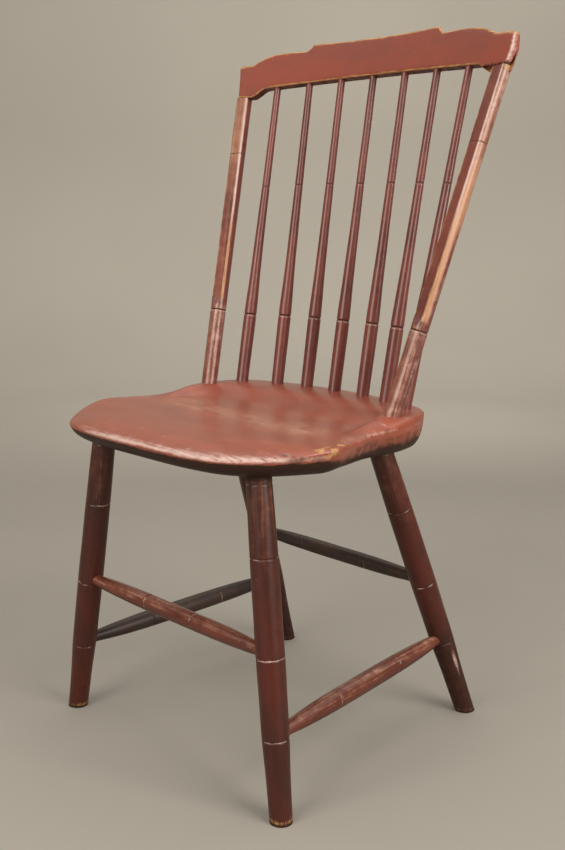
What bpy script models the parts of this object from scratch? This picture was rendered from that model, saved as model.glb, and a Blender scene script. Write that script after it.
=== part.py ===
"""A wooden step-down Windsor side chair with bamboo turnings.

Four splayed legs with two crossing levels of stretchers carry a dished plank seat.  Two
shaved posts and seven tapering spindles stand in the raised deck along the back of the
seat and carry a bent crest rail whose top edge steps up twice to a raised tablet.  The
chair faces -Y, +X is the sitter's left, the feet stand on z = 0, sizes are in metres.
"""
import bpy
import bmesh
from math import acos, cos, pi, radians, sin
from mathutils import Vector

# Clearance between a tenon and its socket, and between two faces that touch.
FIT = 0.0003

# Seat.  The deck is the raised flat that the posts and spindles stand on.
DECK_HEIGHT = 0.4265
SEAT_THICKNESS = 0.0445
SEAT_BACK = 0.022
SEAT_BACK_QUARTER = (0.107, 0.0100)
SEAT_BACK_CORNER = (0.1690, -0.0195)
SEAT_REAR_SIDE = (0.1895, -0.072)
SEAT_WAIST = (0.191, -0.130)
SEAT_HIP = (0.204, -0.180)
SEAT_WIDEST = (0.214, -0.228)
SEAT_FRONT_CORNER = (0.173, -0.300)
SEAT_FRONT_TURN = (0.118, -0.334)
SEAT_FRONT = -0.342
# Depth of the top arris below the deck, at the back and the rear sides, at the waist,
# at the widest place and along the front.
DROP_BACK = 0.0030
DROP_REAR_SIDE = 0.0060
DROP_WAIST = 0.0126
DROP_WIDEST = 0.0122
DROP_FRONT = 0.0205
# How far the flat underside stays inside the rim: at the back, at the front corners and
# along the front.
UNDERCUT_BACK = 0.0160
UNDERCUT_CORNER = 0.0375
UNDERCUT_FRONT = 0.0430
# The hollow: its general depth, the extra depth in its middle and that middle's place.
HOLLOW_DEPTH = 0.0110
HOLLOW_EXTRA = 0.0040
HOLLOW_CENTRE_Y = -0.130
HOLLOW_WIDTH = 0.110
HOLLOW_LENGTH = 0.080
HOLLOW_START = 0.022
HOLLOW_RAMP = 0.075

# Legs.  Sockets lie in the plane of the seat's underside, feet on the floor.
FRONT_SOCKET = (0.1447, -0.2716)
FRONT_FOOT = (0.2005, -0.2899)
REAR_SOCKET = (0.1321, -0.0599)
REAR_FOOT = (0.1736, 0.0815)
LEG_PLUG_END_DIAMETER = 0.0235
LEG_PLUG_LENGTH = 0.0190
LEG_TOP_DIAMETER = 0.0290
LEG_UPPER_DIAMETER = 0.0322
LEG_MIDDLE_DIAMETER = 0.0328
LEG_LOWER_DIAMETER = 0.0310
LEG_FOOT_DIAMETER = 0.0253
# Distances below the seat, along the leg, of the scored rings and of the stretchers.
LEG_COLLAR = 0.0098
LEG_UPPER_NODE = 0.0910
LEG_MIDDLE_NODE = 0.2020
LEG_LOWER_NODE = 0.2930
CROSS_STRETCHER_DROP = 0.1978
SIDE_STRETCHER_DROP = 0.2890

# Stretchers: the diameter at the middle of each, and at their ends.
FRONT_STRETCHER_DIAMETER = 0.0210
REAR_STRETCHER_DIAMETER = 0.0202
SIDE_STRETCHER_DIAMETER = 0.0236
STRETCHER_END_DIAMETER = 0.0149
STRETCHER_TENON_LENGTH = 0.0200
STRETCHER_PARALLEL = 0.0045
# Half the distance between the two scored rings of a stretcher.
FRONT_STRETCHER_RINGS = 0.0440
LONG_STRETCHER_RINGS = 0.0585

# Back: where the posts stand on the deck, and where their axes meet the crest.
POST_BASE = (0.1682, -0.0773)
POST_DIAMETER = 0.0215
POST_FLAT_DEPTH = 0.0040
POST_FLAT_RUNOUT = 0.0170
# How far a post's axis lies behind the middle of the crest's board at their joint.
POST_SET_BACK = 0.0012
POST_PLUG_END_DIAMETER = 0.0160
POST_PLUG_LENGTH = 0.0300
POST_CREST_TENON_DIAMETER = 0.0080
POST_CREST_TENON_LENGTH = 0.0180
POST_NODE = 0.1031
POST_UPPER_RING = 0.3300
# The middle spindle stands at the origin, and the others in pairs at these places.
SPINDLE_INNER_BASE = (0.0514, -0.0007)
SPINDLE_SECOND_BASE = (0.0995, -0.0107)
SPINDLE_OUTER_BASE = (0.1487, -0.0328)
SPINDLE_BASE_DIAMETER = 0.0168
SPINDLE_NODE_DIAMETER = 0.0173
SPINDLE_WAIST_DIAMETER = 0.0144
SPINDLE_MIDDLE_DIAMETER = 0.0118
SPINDLE_TOP_DIAMETER = 0.0095
SPINDLE_NODE = 0.0945
SPINDLE_WAIST = 0.1500
SPINDLE_MIDDLE = 0.2350
SPINDLE_UPPER_RING = 0.2750
SPINDLE_PLUG_END_DIAMETER = 0.0115
SPINDLE_PLUG_LENGTH = 0.0250
SPINDLE_CREST_TENON_END_DIAMETER = 0.0064
SPINDLE_CREST_TENON_LENGTH = 0.0090
# How far a spindle's axis lies behind the middle of the board where it enters the crest.
SPINDLE_SET_BACK = 0.0005

# Scored rings: a deep one at each bamboo node and a faint one.
RING_WIDTH = 0.0028
RING_DEPTH = 0.0009
FAINT_RING_DEPTH = 0.0004

# Crest rail, a board bent round an upright arc and leaning back with the posts.
# The rise is from the deck to the joints with the posts, and the board's own heights
# are measured up it from those joints.
CREST_RADIUS = 1.027
CREST_THICKNESS = 0.0135
# The back is planed down to this at the top edge, from a little above the arch.
CREST_TOP_THICKNESS = 0.0052
CREST_TAPER_START = 0.0020
CREST_LEAN = 17.6
CREST_RISE = 0.3936
CREST_POST_SPAN = 0.2214
CREST_POST_Y = 0.0368
CREST_EAR_TOP_LEFT = 0.0432
CREST_EAR_TOP_RIGHT = 0.0440
CREST_STEP_TOP = 0.0473
CREST_SHOULDER_TOP = 0.0643
CREST_TABLET_TOP = 0.0738
CREST_ARCH_SIDE = 0.0135
CREST_ARCH_MIDDLE = 0.0232
# Lengths along the board: half of the tablet, the cove beside it, how far the foot of the
# rounded shoulder stays inward of the post, the ear outward of the post, how far the ear's
# end leans outward at the foot of the taper and at its top, and below them the curve down
# to the foot at each post and how far that foot reaches inward of the post.
# The board was shaped by hand, so its two ends differ a little.
CREST_TABLET_LEFT = 0.1045
CREST_TABLET_RIGHT = 0.1130
CREST_COVE = 0.0100
CREST_STEP_LEFT = 0.0144
CREST_STEP_RIGHT = 0.0099
CREST_EAR_LEFT = 0.0131
CREST_EAR_RIGHT = 0.0061
CREST_FLARE_LEFT = (0.0050, 0.0042)
CREST_FLARE_RIGHT = (0.0045, 0.0085)
CREST_ARCH_CURVE = 0.0250
CREST_FOOT_LEFT = 0.0006
CREST_FOOT_RIGHT = 0.0042

# Pins through the crest's back into the post tenons.
PIN_DIAMETER = 0.0036
PIN_HEIGHT = 0.0130
PIN_SKIN = 0.0030
PIN_PROUD = 0.0004
# The crest's foot is broken away in front of the sitter's left post: how high, how far
# inward of the post at that height, and how deep into the board.
BREAK_HEIGHT = 0.0072
BREAK_INSIDE = 0.0010
BREAK_DEPTH = 0.0100
# The corner that is split away above it, beside the post's tenon.
SPLIT_HEIGHT = 0.0245
SPLIT_DEPTH = 0.0100
SPLIT_FRONT_WALL = 0.0055
SPLIT_BACK_WALL = 0.0022

# Facets round each turned piece, and the least distance between the crest's columns.
LEG_SIDES = 16
STRETCHER_SIDES = 12
POST_SIDES = 16
SPINDLE_SIDES = 12
SEAT_STATIONS = 64
CREST_LEAST_COLUMN = 0.0016

# Colours of the old red paint, darker on the legs, and of the pins.
RED_SEAT = (0.255, 0.072, 0.042)
RED_CREST = (0.190, 0.046, 0.028)
RED_TURNED = (0.165, 0.040, 0.026)
RED_LEG = (0.105, 0.026, 0.018)
BARE_WOOD = (0.330, 0.160, 0.070)

# What follows from the sizes above.
SEAT_UNDERSIDE = DECK_HEIGHT - SEAT_THICKNESS
LEAN = radians(CREST_LEAN)
CREST_BOW = CREST_RADIUS * (1 - cos(CREST_POST_SPAN / CREST_RADIUS))
CREST_ORIGIN_Z = DECK_HEIGHT + CREST_RISE - CREST_BOW * sin(LEAN)
CREST_ORIGIN_Y = CREST_POST_Y + CREST_BOW * cos(LEAN)
CREST_TAPER_FOOT = CREST_ARCH_MIDDLE + CREST_TAPER_START
STRETCHER_END_RADIUS = STRETCHER_END_DIAMETER / 2
SPINDLE_PAIRS = (SPINDLE_INNER_BASE, SPINDLE_SECOND_BASE, SPINDLE_OUTER_BASE)
SPINDLE_COUNT = 2 * len(SPINDLE_PAIRS) + 1
POST_RADIUS = POST_DIAMETER / 2


def clear_scene():
    """Remove the objects, meshes and materials that the file opened with."""
    for obj in list(bpy.data.objects):
        bpy.data.objects.remove(obj, do_unlink=True)
    for mesh in list(bpy.data.meshes):
        bpy.data.meshes.remove(mesh)
    for material in list(bpy.data.materials):
        bpy.data.materials.remove(material)


def painted(name, colour, roughness):
    """A Principled material for paint or bare wood."""
    material = bpy.data.materials.new(name)
    material.use_nodes = True
    shader = material.node_tree.nodes["Principled BSDF"]
    shader.inputs["Base Color"].default_value = (*colour, 1.0)
    shader.inputs["Roughness"].default_value = roughness
    shader.inputs["Metallic"].default_value = 0.0
    material.diffuse_color = (*colour, 1.0)
    return material


def add_object(name, bm, frame, material, smooth_angle=40.0):
    """Turn a bmesh into an object parented to the chair's frame."""
    bmesh.ops.recalc_face_normals(bm, faces=bm.faces)
    mesh = bpy.data.meshes.new(name)
    bm.to_mesh(mesh)
    bm.free()
    mesh.shade_smooth()
    mesh.set_sharp_from_angle(angle=radians(smooth_angle))
    obj = bpy.data.objects.new(name, mesh)
    bpy.context.scene.collection.objects.link(obj)
    obj.parent = frame
    if material is not None:
        mesh.materials.append(material)
    return obj


def place(obj, origin, axis):
    """Stand an object's local Z along an axis that starts at the origin point."""
    obj.location = origin
    obj.rotation_mode = "QUATERNION"
    obj.rotation_quaternion = axis.to_track_quat("Z", "Y")


def local_plane(origin, axis, point, normal):
    """Give a plane in the frame of a piece that stands at origin along axis."""
    turn = axis.to_track_quat("Z", "Y").inverted()
    return turn @ (Vector(point) - Vector(origin)), turn @ Vector(normal)


def smooth_curve(stations, s):
    """Read a smooth curve through (position, value) stations."""
    if s <= stations[0][0]:
        return stations[0][1]
    if s >= stations[-1][0]:
        return stations[-1][1]
    i = max(k for k in range(len(stations) - 1) if stations[k][0] <= s)
    (x0, y0), (x1, y1) = stations[i], stations[i + 1]
    before = stations[i - 1] if i > 0 else stations[i]
    after = stations[i + 2] if i + 2 < len(stations) else stations[i + 1]
    m0 = (y1 - before[1]) / (x1 - before[0])
    m1 = (after[1] - y0) / (after[0] - x0)
    span = x1 - x0
    t = (s - x0) / span
    return ((2 * t ** 3 - 3 * t ** 2 + 1) * y0 + (t ** 3 - 2 * t ** 2 + t) * m0 * span
            + (3 * t ** 2 - 2 * t ** 3) * y1 + (t ** 3 - t ** 2) * m1 * span)


def ease(t):
    """Smooth step from 0 to 1."""
    t = min(1.0, max(0.0, t))
    return t * t * (3 - 2 * t)


def ring_sections(at, radius, depth):
    """A scored ring: three turned sections that cut a small groove."""
    half = RING_WIDTH / 2
    return [(at - half, radius(at - half)), (at, radius(at) - depth),
            (at + half, radius(at + half))]


def turned_sections(start, end, steps, radius, rings):
    """Sections of a turned length: even steps with the scored rings let in between."""
    cuts = [section for at, depth in rings for section in ring_sections(at, radius, depth)]
    sections = list(cuts)
    for i in range(steps + 1):
        s = start + (end - start) * i / steps
        if all(abs(s - at) > RING_WIDTH * 1.2 for at, _ in rings):
            sections.append((s, radius(s)))
    return sorted(sections)


def turned_body(sections, angles, reach=None, facing=0.0):
    """Loft turned sections.  A section is (position, radius) or (position, radius, plane).

    With a plane the ring is slid along the axis on to that plane.  reach gives the
    distance to a shaved flat at a position, and None leaves the section round.  The flat
    faces the direction that facing gives, and the angles are measured from it.
    """
    bm = bmesh.new()
    loops = []
    for section in sections:
        s, radius = section[0], section[1]
        plane = section[2] if len(section) > 2 else None
        loop = []
        for angle in angles:
            size = radius
            if reach is not None and abs(angle) < pi / 2:
                size = min(radius, reach(s) / cos(angle))
            x, y, z = size * cos(facing + angle), size * sin(facing + angle), s
            if plane is not None:
                point, normal = plane
                z = point.z - (normal.x * (x - point.x) + normal.y * (y - point.y)) / normal.z
            loop.append(bm.verts.new((x, y, z)))
        loops.append(loop)
    count = len(angles)
    for lower, upper in zip(loops[:-1], loops[1:]):
        for i in range(count):
            j = (i + 1) % count
            bm.faces.new((lower[i], lower[j], upper[j], upper[i]))
    bm.faces.new(loops[0])
    bm.faces.new(loops[-1])
    return bm


def round_angles(sides):
    """Even angles round a full turn, from -pi to pi."""
    return [-pi + 2 * pi * i / sides for i in range(sides)]


def hide_tool(obj):
    """Keep a cutter out of the finished chair."""
    obj.hide_render = True
    obj.display_type = "WIRE"


def cutter(name, origin, axis, sections, sides, frame):
    """A round cutter along an axis, from (position, radius) sections."""
    obj = add_object(name, turned_body(sections, round_angles(sides)), frame, None)
    place(obj, origin, axis)
    hide_tool(obj)
    return obj


def plug_sections(length, end_radius, radius, clearance, over):
    """A tapered plug below position 0, or its socket when there is a clearance."""
    return [(-length - clearance, end_radius + clearance), (0.0, radius + clearance),
            (over, radius + clearance)]


def cut(obj, tool):
    """Take a cutter out of a piece."""
    modifier = obj.modifiers.new(tool.name, "BOOLEAN")
    modifier.operation = "DIFFERENCE"
    modifier.solver = "EXACT"
    modifier.object = tool


def leg_point(socket, foot, drop):
    """The point on a leg's axis at a distance below the seat, and the leg's direction."""
    top = Vector((socket[0], socket[1], SEAT_UNDERSIDE))
    direction = (Vector((foot[0], foot[1], 0.0)) - top).normalized()
    return top + direction * drop, direction


def leg_radius(s):
    """Radius of every leg at a distance below the seat."""
    stations = [(0.0, LEG_TOP_DIAMETER), (LEG_UPPER_NODE, LEG_UPPER_DIAMETER - 0.0004),
                ((LEG_UPPER_NODE + LEG_MIDDLE_NODE) / 2, LEG_UPPER_DIAMETER),
                (LEG_MIDDLE_NODE, LEG_MIDDLE_DIAMETER),
                ((LEG_MIDDLE_NODE + LEG_LOWER_NODE) / 2, LEG_LOWER_DIAMETER + 0.0008),
                (LEG_LOWER_NODE, LEG_LOWER_DIAMETER),
                (LEG_LOWER_NODE + 0.045, LEG_LOWER_DIAMETER * 0.4 + LEG_FOOT_DIAMETER * 0.6),
                (LEG_LOWER_NODE + 0.115, LEG_FOOT_DIAMETER)]
    return smooth_curve(stations, s) / 2


def build_leg(name, socket, foot, material, frame):
    """A turned leg with a tapered plug for the seat and a foot cut level with the floor."""
    top, axis = leg_point(socket, foot, 0.0)
    length = top.z / -axis.z
    floor = local_plane(top, axis, (foot[0], foot[1], 0.0), (0, 0, 1))
    rings = [(LEG_COLLAR, FAINT_RING_DEPTH), (LEG_UPPER_NODE, RING_DEPTH),
             (LEG_MIDDLE_NODE, RING_DEPTH), (LEG_LOWER_NODE, RING_DEPTH)]
    slope = 1 / -axis.z
    foot_room = LEG_FOOT_DIAMETER / 2 * (slope * slope - 1) ** 0.5 + 0.006
    sections = [(-LEG_PLUG_LENGTH, LEG_PLUG_END_DIAMETER / 2), (0.0, leg_radius(0.0))]
    sections += turned_sections(LEG_COLLAR + 0.006, length - foot_room, 10, leg_radius, rings)
    sections.append((length, LEG_FOOT_DIAMETER / 2, floor))
    leg = add_object(name, turned_body(sections, round_angles(LEG_SIDES)), frame, material)
    place(leg, top, axis)
    socket_sections = plug_sections(LEG_PLUG_LENGTH, LEG_PLUG_END_DIAMETER / 2,
                                    leg_radius(0.0), FIT, 0.030)
    return leg, cutter(name + "_socket", top, axis, socket_sections, LEG_SIDES, frame)


def build_stretcher(name, start, end, start_leg_radius, end_leg_radius, diameter, half_rings,
                    material, frame):
    """A stretcher between two points on leg axes, and the cutters for its two sockets."""
    run = end - start
    axis = run.normalized()
    length = run.length
    first = start_leg_radius - STRETCHER_TENON_LENGTH
    last = length - end_leg_radius + STRETCHER_TENON_LENGTH
    near = start_leg_radius + STRETCHER_PARALLEL
    far = length - end_leg_radius - STRETCHER_PARALLEL
    middle = (near + far) / 2

    def radius(s):
        share = min(1.0, abs(s - middle) / (far - middle))
        return (diameter - (diameter - STRETCHER_END_DIAMETER) * share ** 3.4) / 2

    rings = [(middle - half_rings, RING_DEPTH), (middle + half_rings, RING_DEPTH)]
    sections = [(first, STRETCHER_END_RADIUS)]
    sections += turned_sections(near, far, 9, radius, rings)
    sections.append((last, STRETCHER_END_RADIUS))
    stretcher = add_object(name, turned_body(sections, round_angles(STRETCHER_SIDES)), frame,
                           material)
    place(stretcher, start, axis)
    hole = STRETCHER_END_RADIUS + FIT
    start_tool = cutter(name + "_start_socket", start, axis,
                        [(first - FIT, hole), (start_leg_radius * 2, hole)],
                        STRETCHER_SIDES, frame)
    end_tool = cutter(name + "_end_socket", start, axis,
                      [(length - end_leg_radius * 2, hole), (last + FIT, hole)],
                      STRETCHER_SIDES, frame)
    return stretcher, start_tool, end_tool


def seat_stations():
    """Half of the seat's outline, back to front, as x, y, drop of the arris, undercut."""
    return [(0.0, SEAT_BACK, DROP_BACK, UNDERCUT_BACK),
            (*SEAT_BACK_QUARTER, DROP_BACK, UNDERCUT_BACK),
            (*SEAT_BACK_CORNER, DROP_BACK, UNDERCUT_BACK),
            (*SEAT_REAR_SIDE, DROP_REAR_SIDE, UNDERCUT_BACK),
            (*SEAT_WAIST, DROP_WAIST, UNDERCUT_BACK * 0.75 + UNDERCUT_CORNER * 0.25),
            (*SEAT_HIP, DROP_WIDEST * 0.5 + DROP_WAIST * 0.5,
             UNDERCUT_BACK * 0.45 + UNDERCUT_CORNER * 0.55),
            (*SEAT_WIDEST, DROP_WIDEST, UNDERCUT_CORNER * 0.9 + UNDERCUT_BACK * 0.1),
            (*SEAT_FRONT_CORNER, DROP_FRONT, UNDERCUT_CORNER),
            (*SEAT_FRONT_TURN, DROP_FRONT, UNDERCUT_FRONT),
            (0.0, SEAT_FRONT, DROP_FRONT, UNDERCUT_FRONT)]


def seat_rim():
    """Points round the seat's rim at equal steps: x, y, drop, undercut."""
    half = seat_stations()
    loop = half + [(-x, y, drop, under) for x, y, drop, under in reversed(half[1:-1])]
    count = len(loop)
    lengths = [0.0]
    for i in range(count):
        a, b = loop[i], loop[(i + 1) % count]
        lengths.append(lengths[-1] + ((a[0] - b[0]) ** 2 + (a[1] - b[1]) ** 2) ** 0.5)
    total = lengths[-1]
    wrapped = list(range(-3, count + 4))
    tracks = []
    for part in range(4):
        tracks.append([(lengths[k % count] + total * (k // count), loop[k % count][part])
                       for k in wrapped])
    points = []
    for i in range(SEAT_STATIONS):
        s = total * i / SEAT_STATIONS
        points.append([smooth_curve(track, s) for track in tracks])
    return points


def spindle_row(x):
    """The row that the spindles and posts stand in: its y at a distance from the middle."""
    return smooth_curve(sorted([(0.0, 0.0), *SPINDLE_PAIRS, POST_BASE]), abs(x))


def seat_top(x, y):
    """Height of the seat's upper surface away from its rim."""
    ahead = spindle_row(x) - y - HOLLOW_START
    bowl = ease(ahead / HOLLOW_RAMP)
    middle = 2.0 ** -((x / HOLLOW_WIDTH) ** 2 + ((y - HOLLOW_CENTRE_Y) / HOLLOW_LENGTH) ** 2)
    return DECK_HEIGHT - bowl * (HOLLOW_DEPTH + HOLLOW_EXTRA * middle)


def build_seat(material, frame):
    """The plank seat: flat underside, rounded edge, raised deck and shallow hollow."""
    rim = seat_rim()
    centre = Vector((0.0, (SEAT_BACK + SEAT_FRONT) / 2))
    bm = bmesh.new()
    loops = []
    for quarter in (90, 72, 54, 36, 18, 0):
        loop = []
        for i, (x, y, drop, under) in enumerate(rim):
            a, b = rim[i - 1], rim[(i + 1) % len(rim)]
            inward = Vector((b[1] - a[1], a[0] - b[0])).normalized()
            if inward.dot(centre - Vector((x, y))) < 0:
                inward.negate()
            inset = under * (1 - cos(radians(quarter)))
            fall = (SEAT_THICKNESS - drop) * sin(radians(quarter))
            loop.append(bm.verts.new((x + inward.x * inset, y + inward.y * inset,
                                      DECK_HEIGHT - drop - fall)))
        loops.append(loop)
    for share in (0.985, 0.96, 0.92, 0.86, 0.78, 0.68, 0.56, 0.42, 0.26, 0.12):
        loop = []
        for x, y, drop, under in rim:
            px = centre.x + (x - centre.x) * share
            py = centre.y + (y - centre.y) * share
            roll = (drop - DROP_BACK) / (DROP_FRONT - DROP_BACK)
            power = 26.0 - 18.0 * min(1.0, max(0.0, roll))
            top = seat_top(px, py)
            height = top + (DECK_HEIGHT - drop - seat_top(x, y)) * share ** power
            loop.append(bm.verts.new((px, py, height)))
        loops.append(loop)
    count = len(rim)
    for lower, upper in zip(loops[:-1], loops[1:]):
        for i in range(count):
            j = (i + 1) % count
            bm.faces.new((lower[i], lower[j], upper[j], upper[i]))
    bm.faces.new(loops[0])
    hub = bm.verts.new((centre.x, centre.y, seat_top(centre.x, centre.y)))
    for i in range(count):
        bm.faces.new((loops[-1][i], loops[-1][(i + 1) % count], hub))
    return add_object("seat", bm, frame, material)


def board_point(x, offset, height):
    """A point of the crest's board: along it, behind its middle surface and up it."""
    bend = x / CREST_RADIUS
    radius = CREST_RADIUS + offset
    return Vector((radius * sin(bend), radius * cos(bend) - CREST_RADIUS, height))


def board_to_chair(point):
    """Carry a point of the crest's board into the chair's frame."""
    return Vector((point.x, CREST_ORIGIN_Y + point.y * cos(LEAN) + point.z * sin(LEAN),
                   CREST_ORIGIN_Z + point.z * cos(LEAN) - point.y * sin(LEAN)))


def crest_stops(x):
    """Distances from the middle on the side of x: where the tablet, the cove, the rounded
    shoulder and the board end along the top, and where the arch and its curve end."""
    tablet, step, ear, foot = (CREST_TABLET_LEFT, CREST_STEP_LEFT, CREST_EAR_LEFT,
                               CREST_FOOT_LEFT)
    if x < 0:
        tablet, step, ear, foot = (CREST_TABLET_RIGHT, CREST_STEP_RIGHT, CREST_EAR_RIGHT,
                                   CREST_FOOT_RIGHT)
    arch_foot = CREST_POST_SPAN - POST_RADIUS - foot
    return (tablet, tablet + CREST_COVE, CREST_POST_SPAN - step, CREST_POST_SPAN + ear,
            arch_foot - CREST_ARCH_CURVE, arch_foot)


def crest_top(x):
    """Height of the crest's top edge at a distance from its middle."""
    tablet, cove_foot, step, end = crest_stops(x)[:4]
    ear_top, fullness = (CREST_EAR_TOP_LEFT, 3.1) if x > 0 else (CREST_EAR_TOP_RIGHT, 4.0)
    x = abs(x)
    if x <= tablet:
        return CREST_TABLET_TOP
    if x <= cove_foot:
        share = (x - tablet) / CREST_COVE
        return CREST_TABLET_TOP - (CREST_TABLET_TOP - CREST_SHOULDER_TOP) * share ** 0.6
    if x <= step:
        share = ((x - cove_foot) / (step - cove_foot)) ** fullness
        return CREST_SHOULDER_TOP - (CREST_SHOULDER_TOP - CREST_STEP_TOP) * share
    share = min(1.0, (x - step) / (end - step)) ** 1.6
    return CREST_STEP_TOP - (CREST_STEP_TOP - ear_top) * share


def crest_bottom(x):
    """Height of the crest's bottom edge at a distance from its middle."""
    arch_start, arch_foot = crest_stops(x)[4:]
    x = abs(x)
    if x >= arch_foot:
        return 0.0
    if x >= arch_start:
        return CREST_ARCH_SIDE * ease((arch_foot - x) / CREST_ARCH_CURVE)
    rise = CREST_ARCH_MIDDLE - CREST_ARCH_SIDE
    return CREST_ARCH_MIDDLE - rise * (x / arch_start) ** 2.0


def crest_back(height):
    """How far the crest's back lies behind its middle surface at a height up the board."""
    share = (height - CREST_TAPER_FOOT) / (CREST_TABLET_TOP - CREST_TAPER_FOOT)
    return CREST_THICKNESS / 2 - (CREST_THICKNESS - CREST_TOP_THICKNESS) * max(0.0, share)


def crest_columns():
    """Distances from the middle at which the crest's board is sectioned."""
    both = [0.0]
    for side in (-1, 1):
        tablet, cove_foot, step, end, arch_start, arch_foot = crest_stops(side)
        spans = [(0.0, tablet, 8), (tablet, cove_foot, 4), (cove_foot, step, 12),
                 (arch_start, arch_foot, 4), (step, end, 3)]
        stops = sorted(a + (b - a) * i / count for a, b, count in spans
                       for i in range(count + 1))
        columns = [stops[0]]
        for stop in stops[1:]:
            if stop - columns[-1] > CREST_LEAST_COLUMN:
                columns.append(stop)
        columns[-1] = end
        both += [side * x for x in columns[1:]]
    return sorted(both)


def build_crest(material, frame):
    """The bent crest rail with its stepped top edge."""
    bm = bmesh.new()
    half = CREST_THICKNESS / 2
    columns = crest_columns()
    loops = []
    for x in columns:
        low, high = crest_bottom(x), crest_top(x)
        knee, flare = 0.0, 0.0
        if x == columns[0]:
            knee, flare = [-lean for lean in CREST_FLARE_RIGHT]
        if x == columns[-1]:
            knee, flare = CREST_FLARE_LEFT
        loops.append([bm.verts.new(board_point(x, -half, low)),
                      bm.verts.new(board_point(x, half, low)),
                      bm.verts.new(board_point(x + knee, half, CREST_TAPER_FOOT)),
                      bm.verts.new(board_point(x + flare, crest_back(high), high)),
                      bm.verts.new(board_point(x + flare, -half, high)),
                      bm.verts.new(board_point(x + knee, -half, CREST_TAPER_FOOT))])
    for left, right in zip(loops[:-1], loops[1:]):
        for i in range(6):
            j = (i + 1) % 6
            bm.faces.new((left[i], left[j], right[j], right[i]))
    bm.faces.new(loops[0])
    bm.faces.new(loops[-1])
    crest = add_object("crest_rail", bm, frame, material, 25.0)
    crest.location = (0.0, CREST_ORIGIN_Y, CREST_ORIGIN_Z)
    crest.rotation_euler = (-LEAN, 0.0, 0.0)
    return crest


def spindle_bases():
    """Where the spindles stand on the deck, from the sitter's right to the left."""
    row = [(-x, y) for x, y in reversed(SPINDLE_PAIRS)] + [(0.0, 0.0)] + list(SPINDLE_PAIRS)
    return [Vector((x, y, DECK_HEIGHT)) for x, y in row]


def spindle_radius(s):
    """Radius of every spindle at a distance above the deck."""
    stations = [(0.0, SPINDLE_BASE_DIAMETER), (SPINDLE_NODE, SPINDLE_NODE_DIAMETER),
                (SPINDLE_WAIST, SPINDLE_WAIST_DIAMETER),
                (SPINDLE_MIDDLE, SPINDLE_MIDDLE_DIAMETER),
                ((SPINDLE_MIDDLE + CREST_RISE) / 2, (SPINDLE_MIDDLE_DIAMETER
                                                     + 2 * SPINDLE_TOP_DIAMETER) / 3),
                (CREST_RISE, SPINDLE_TOP_DIAMETER)]
    return smooth_curve(stations, s) / 2


def build_spindle(name, base, board_x, material, frame):
    """A tapering spindle, the cutter for its seat socket and the one for the crest."""
    goal = board_to_chair(board_point(board_x, SPINDLE_SET_BACK, crest_bottom(board_x)))
    run = goal - base
    axis = run.normalized()
    top = run.length + SPINDLE_CREST_TENON_LENGTH
    rings = [(SPINDLE_NODE, RING_DEPTH), (SPINDLE_UPPER_RING, FAINT_RING_DEPTH)]
    sections = [(-SPINDLE_PLUG_LENGTH, SPINDLE_PLUG_END_DIAMETER / 2)]
    sections += turned_sections(0.0, CREST_RISE, 9, spindle_radius, rings)
    sections.append((run.length, SPINDLE_TOP_DIAMETER / 2))
    sections.append((top, SPINDLE_CREST_TENON_END_DIAMETER / 2))
    spindle = add_object(name, turned_body(sections, round_angles(SPINDLE_SIDES)), frame, material)
    place(spindle, base, axis)
    seat_sections = plug_sections(SPINDLE_PLUG_LENGTH, SPINDLE_PLUG_END_DIAMETER / 2,
                                  SPINDLE_BASE_DIAMETER / 2, FIT, 0.020)
    seat_tool = cutter(name + "_seat_socket", base, axis, seat_sections, SPINDLE_SIDES, frame)
    mouth = SPINDLE_TOP_DIAMETER / 2 + FIT
    crest_tool = cutter(name + "_crest_socket", base, axis,
                        [(run.length - 0.008, mouth), (run.length, mouth),
                         (top + FIT, SPINDLE_CREST_TENON_END_DIAMETER / 2 + FIT)],
                        SPINDLE_SIDES, frame)
    return spindle, seat_tool, crest_tool


def post_frame(side):
    """A post's foot on the deck, its joint with the crest and the crest's backward side."""
    base = Vector((side * POST_BASE[0], POST_BASE[1], DECK_HEIGHT))
    joint = board_to_chair(board_point(side * CREST_POST_SPAN, POST_SET_BACK, 0.0))
    bend = side * CREST_POST_SPAN / CREST_RADIUS
    back = Vector((sin(bend), cos(bend) * cos(LEAN), -cos(bend) * sin(LEAN)))
    return base, joint, back


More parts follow.
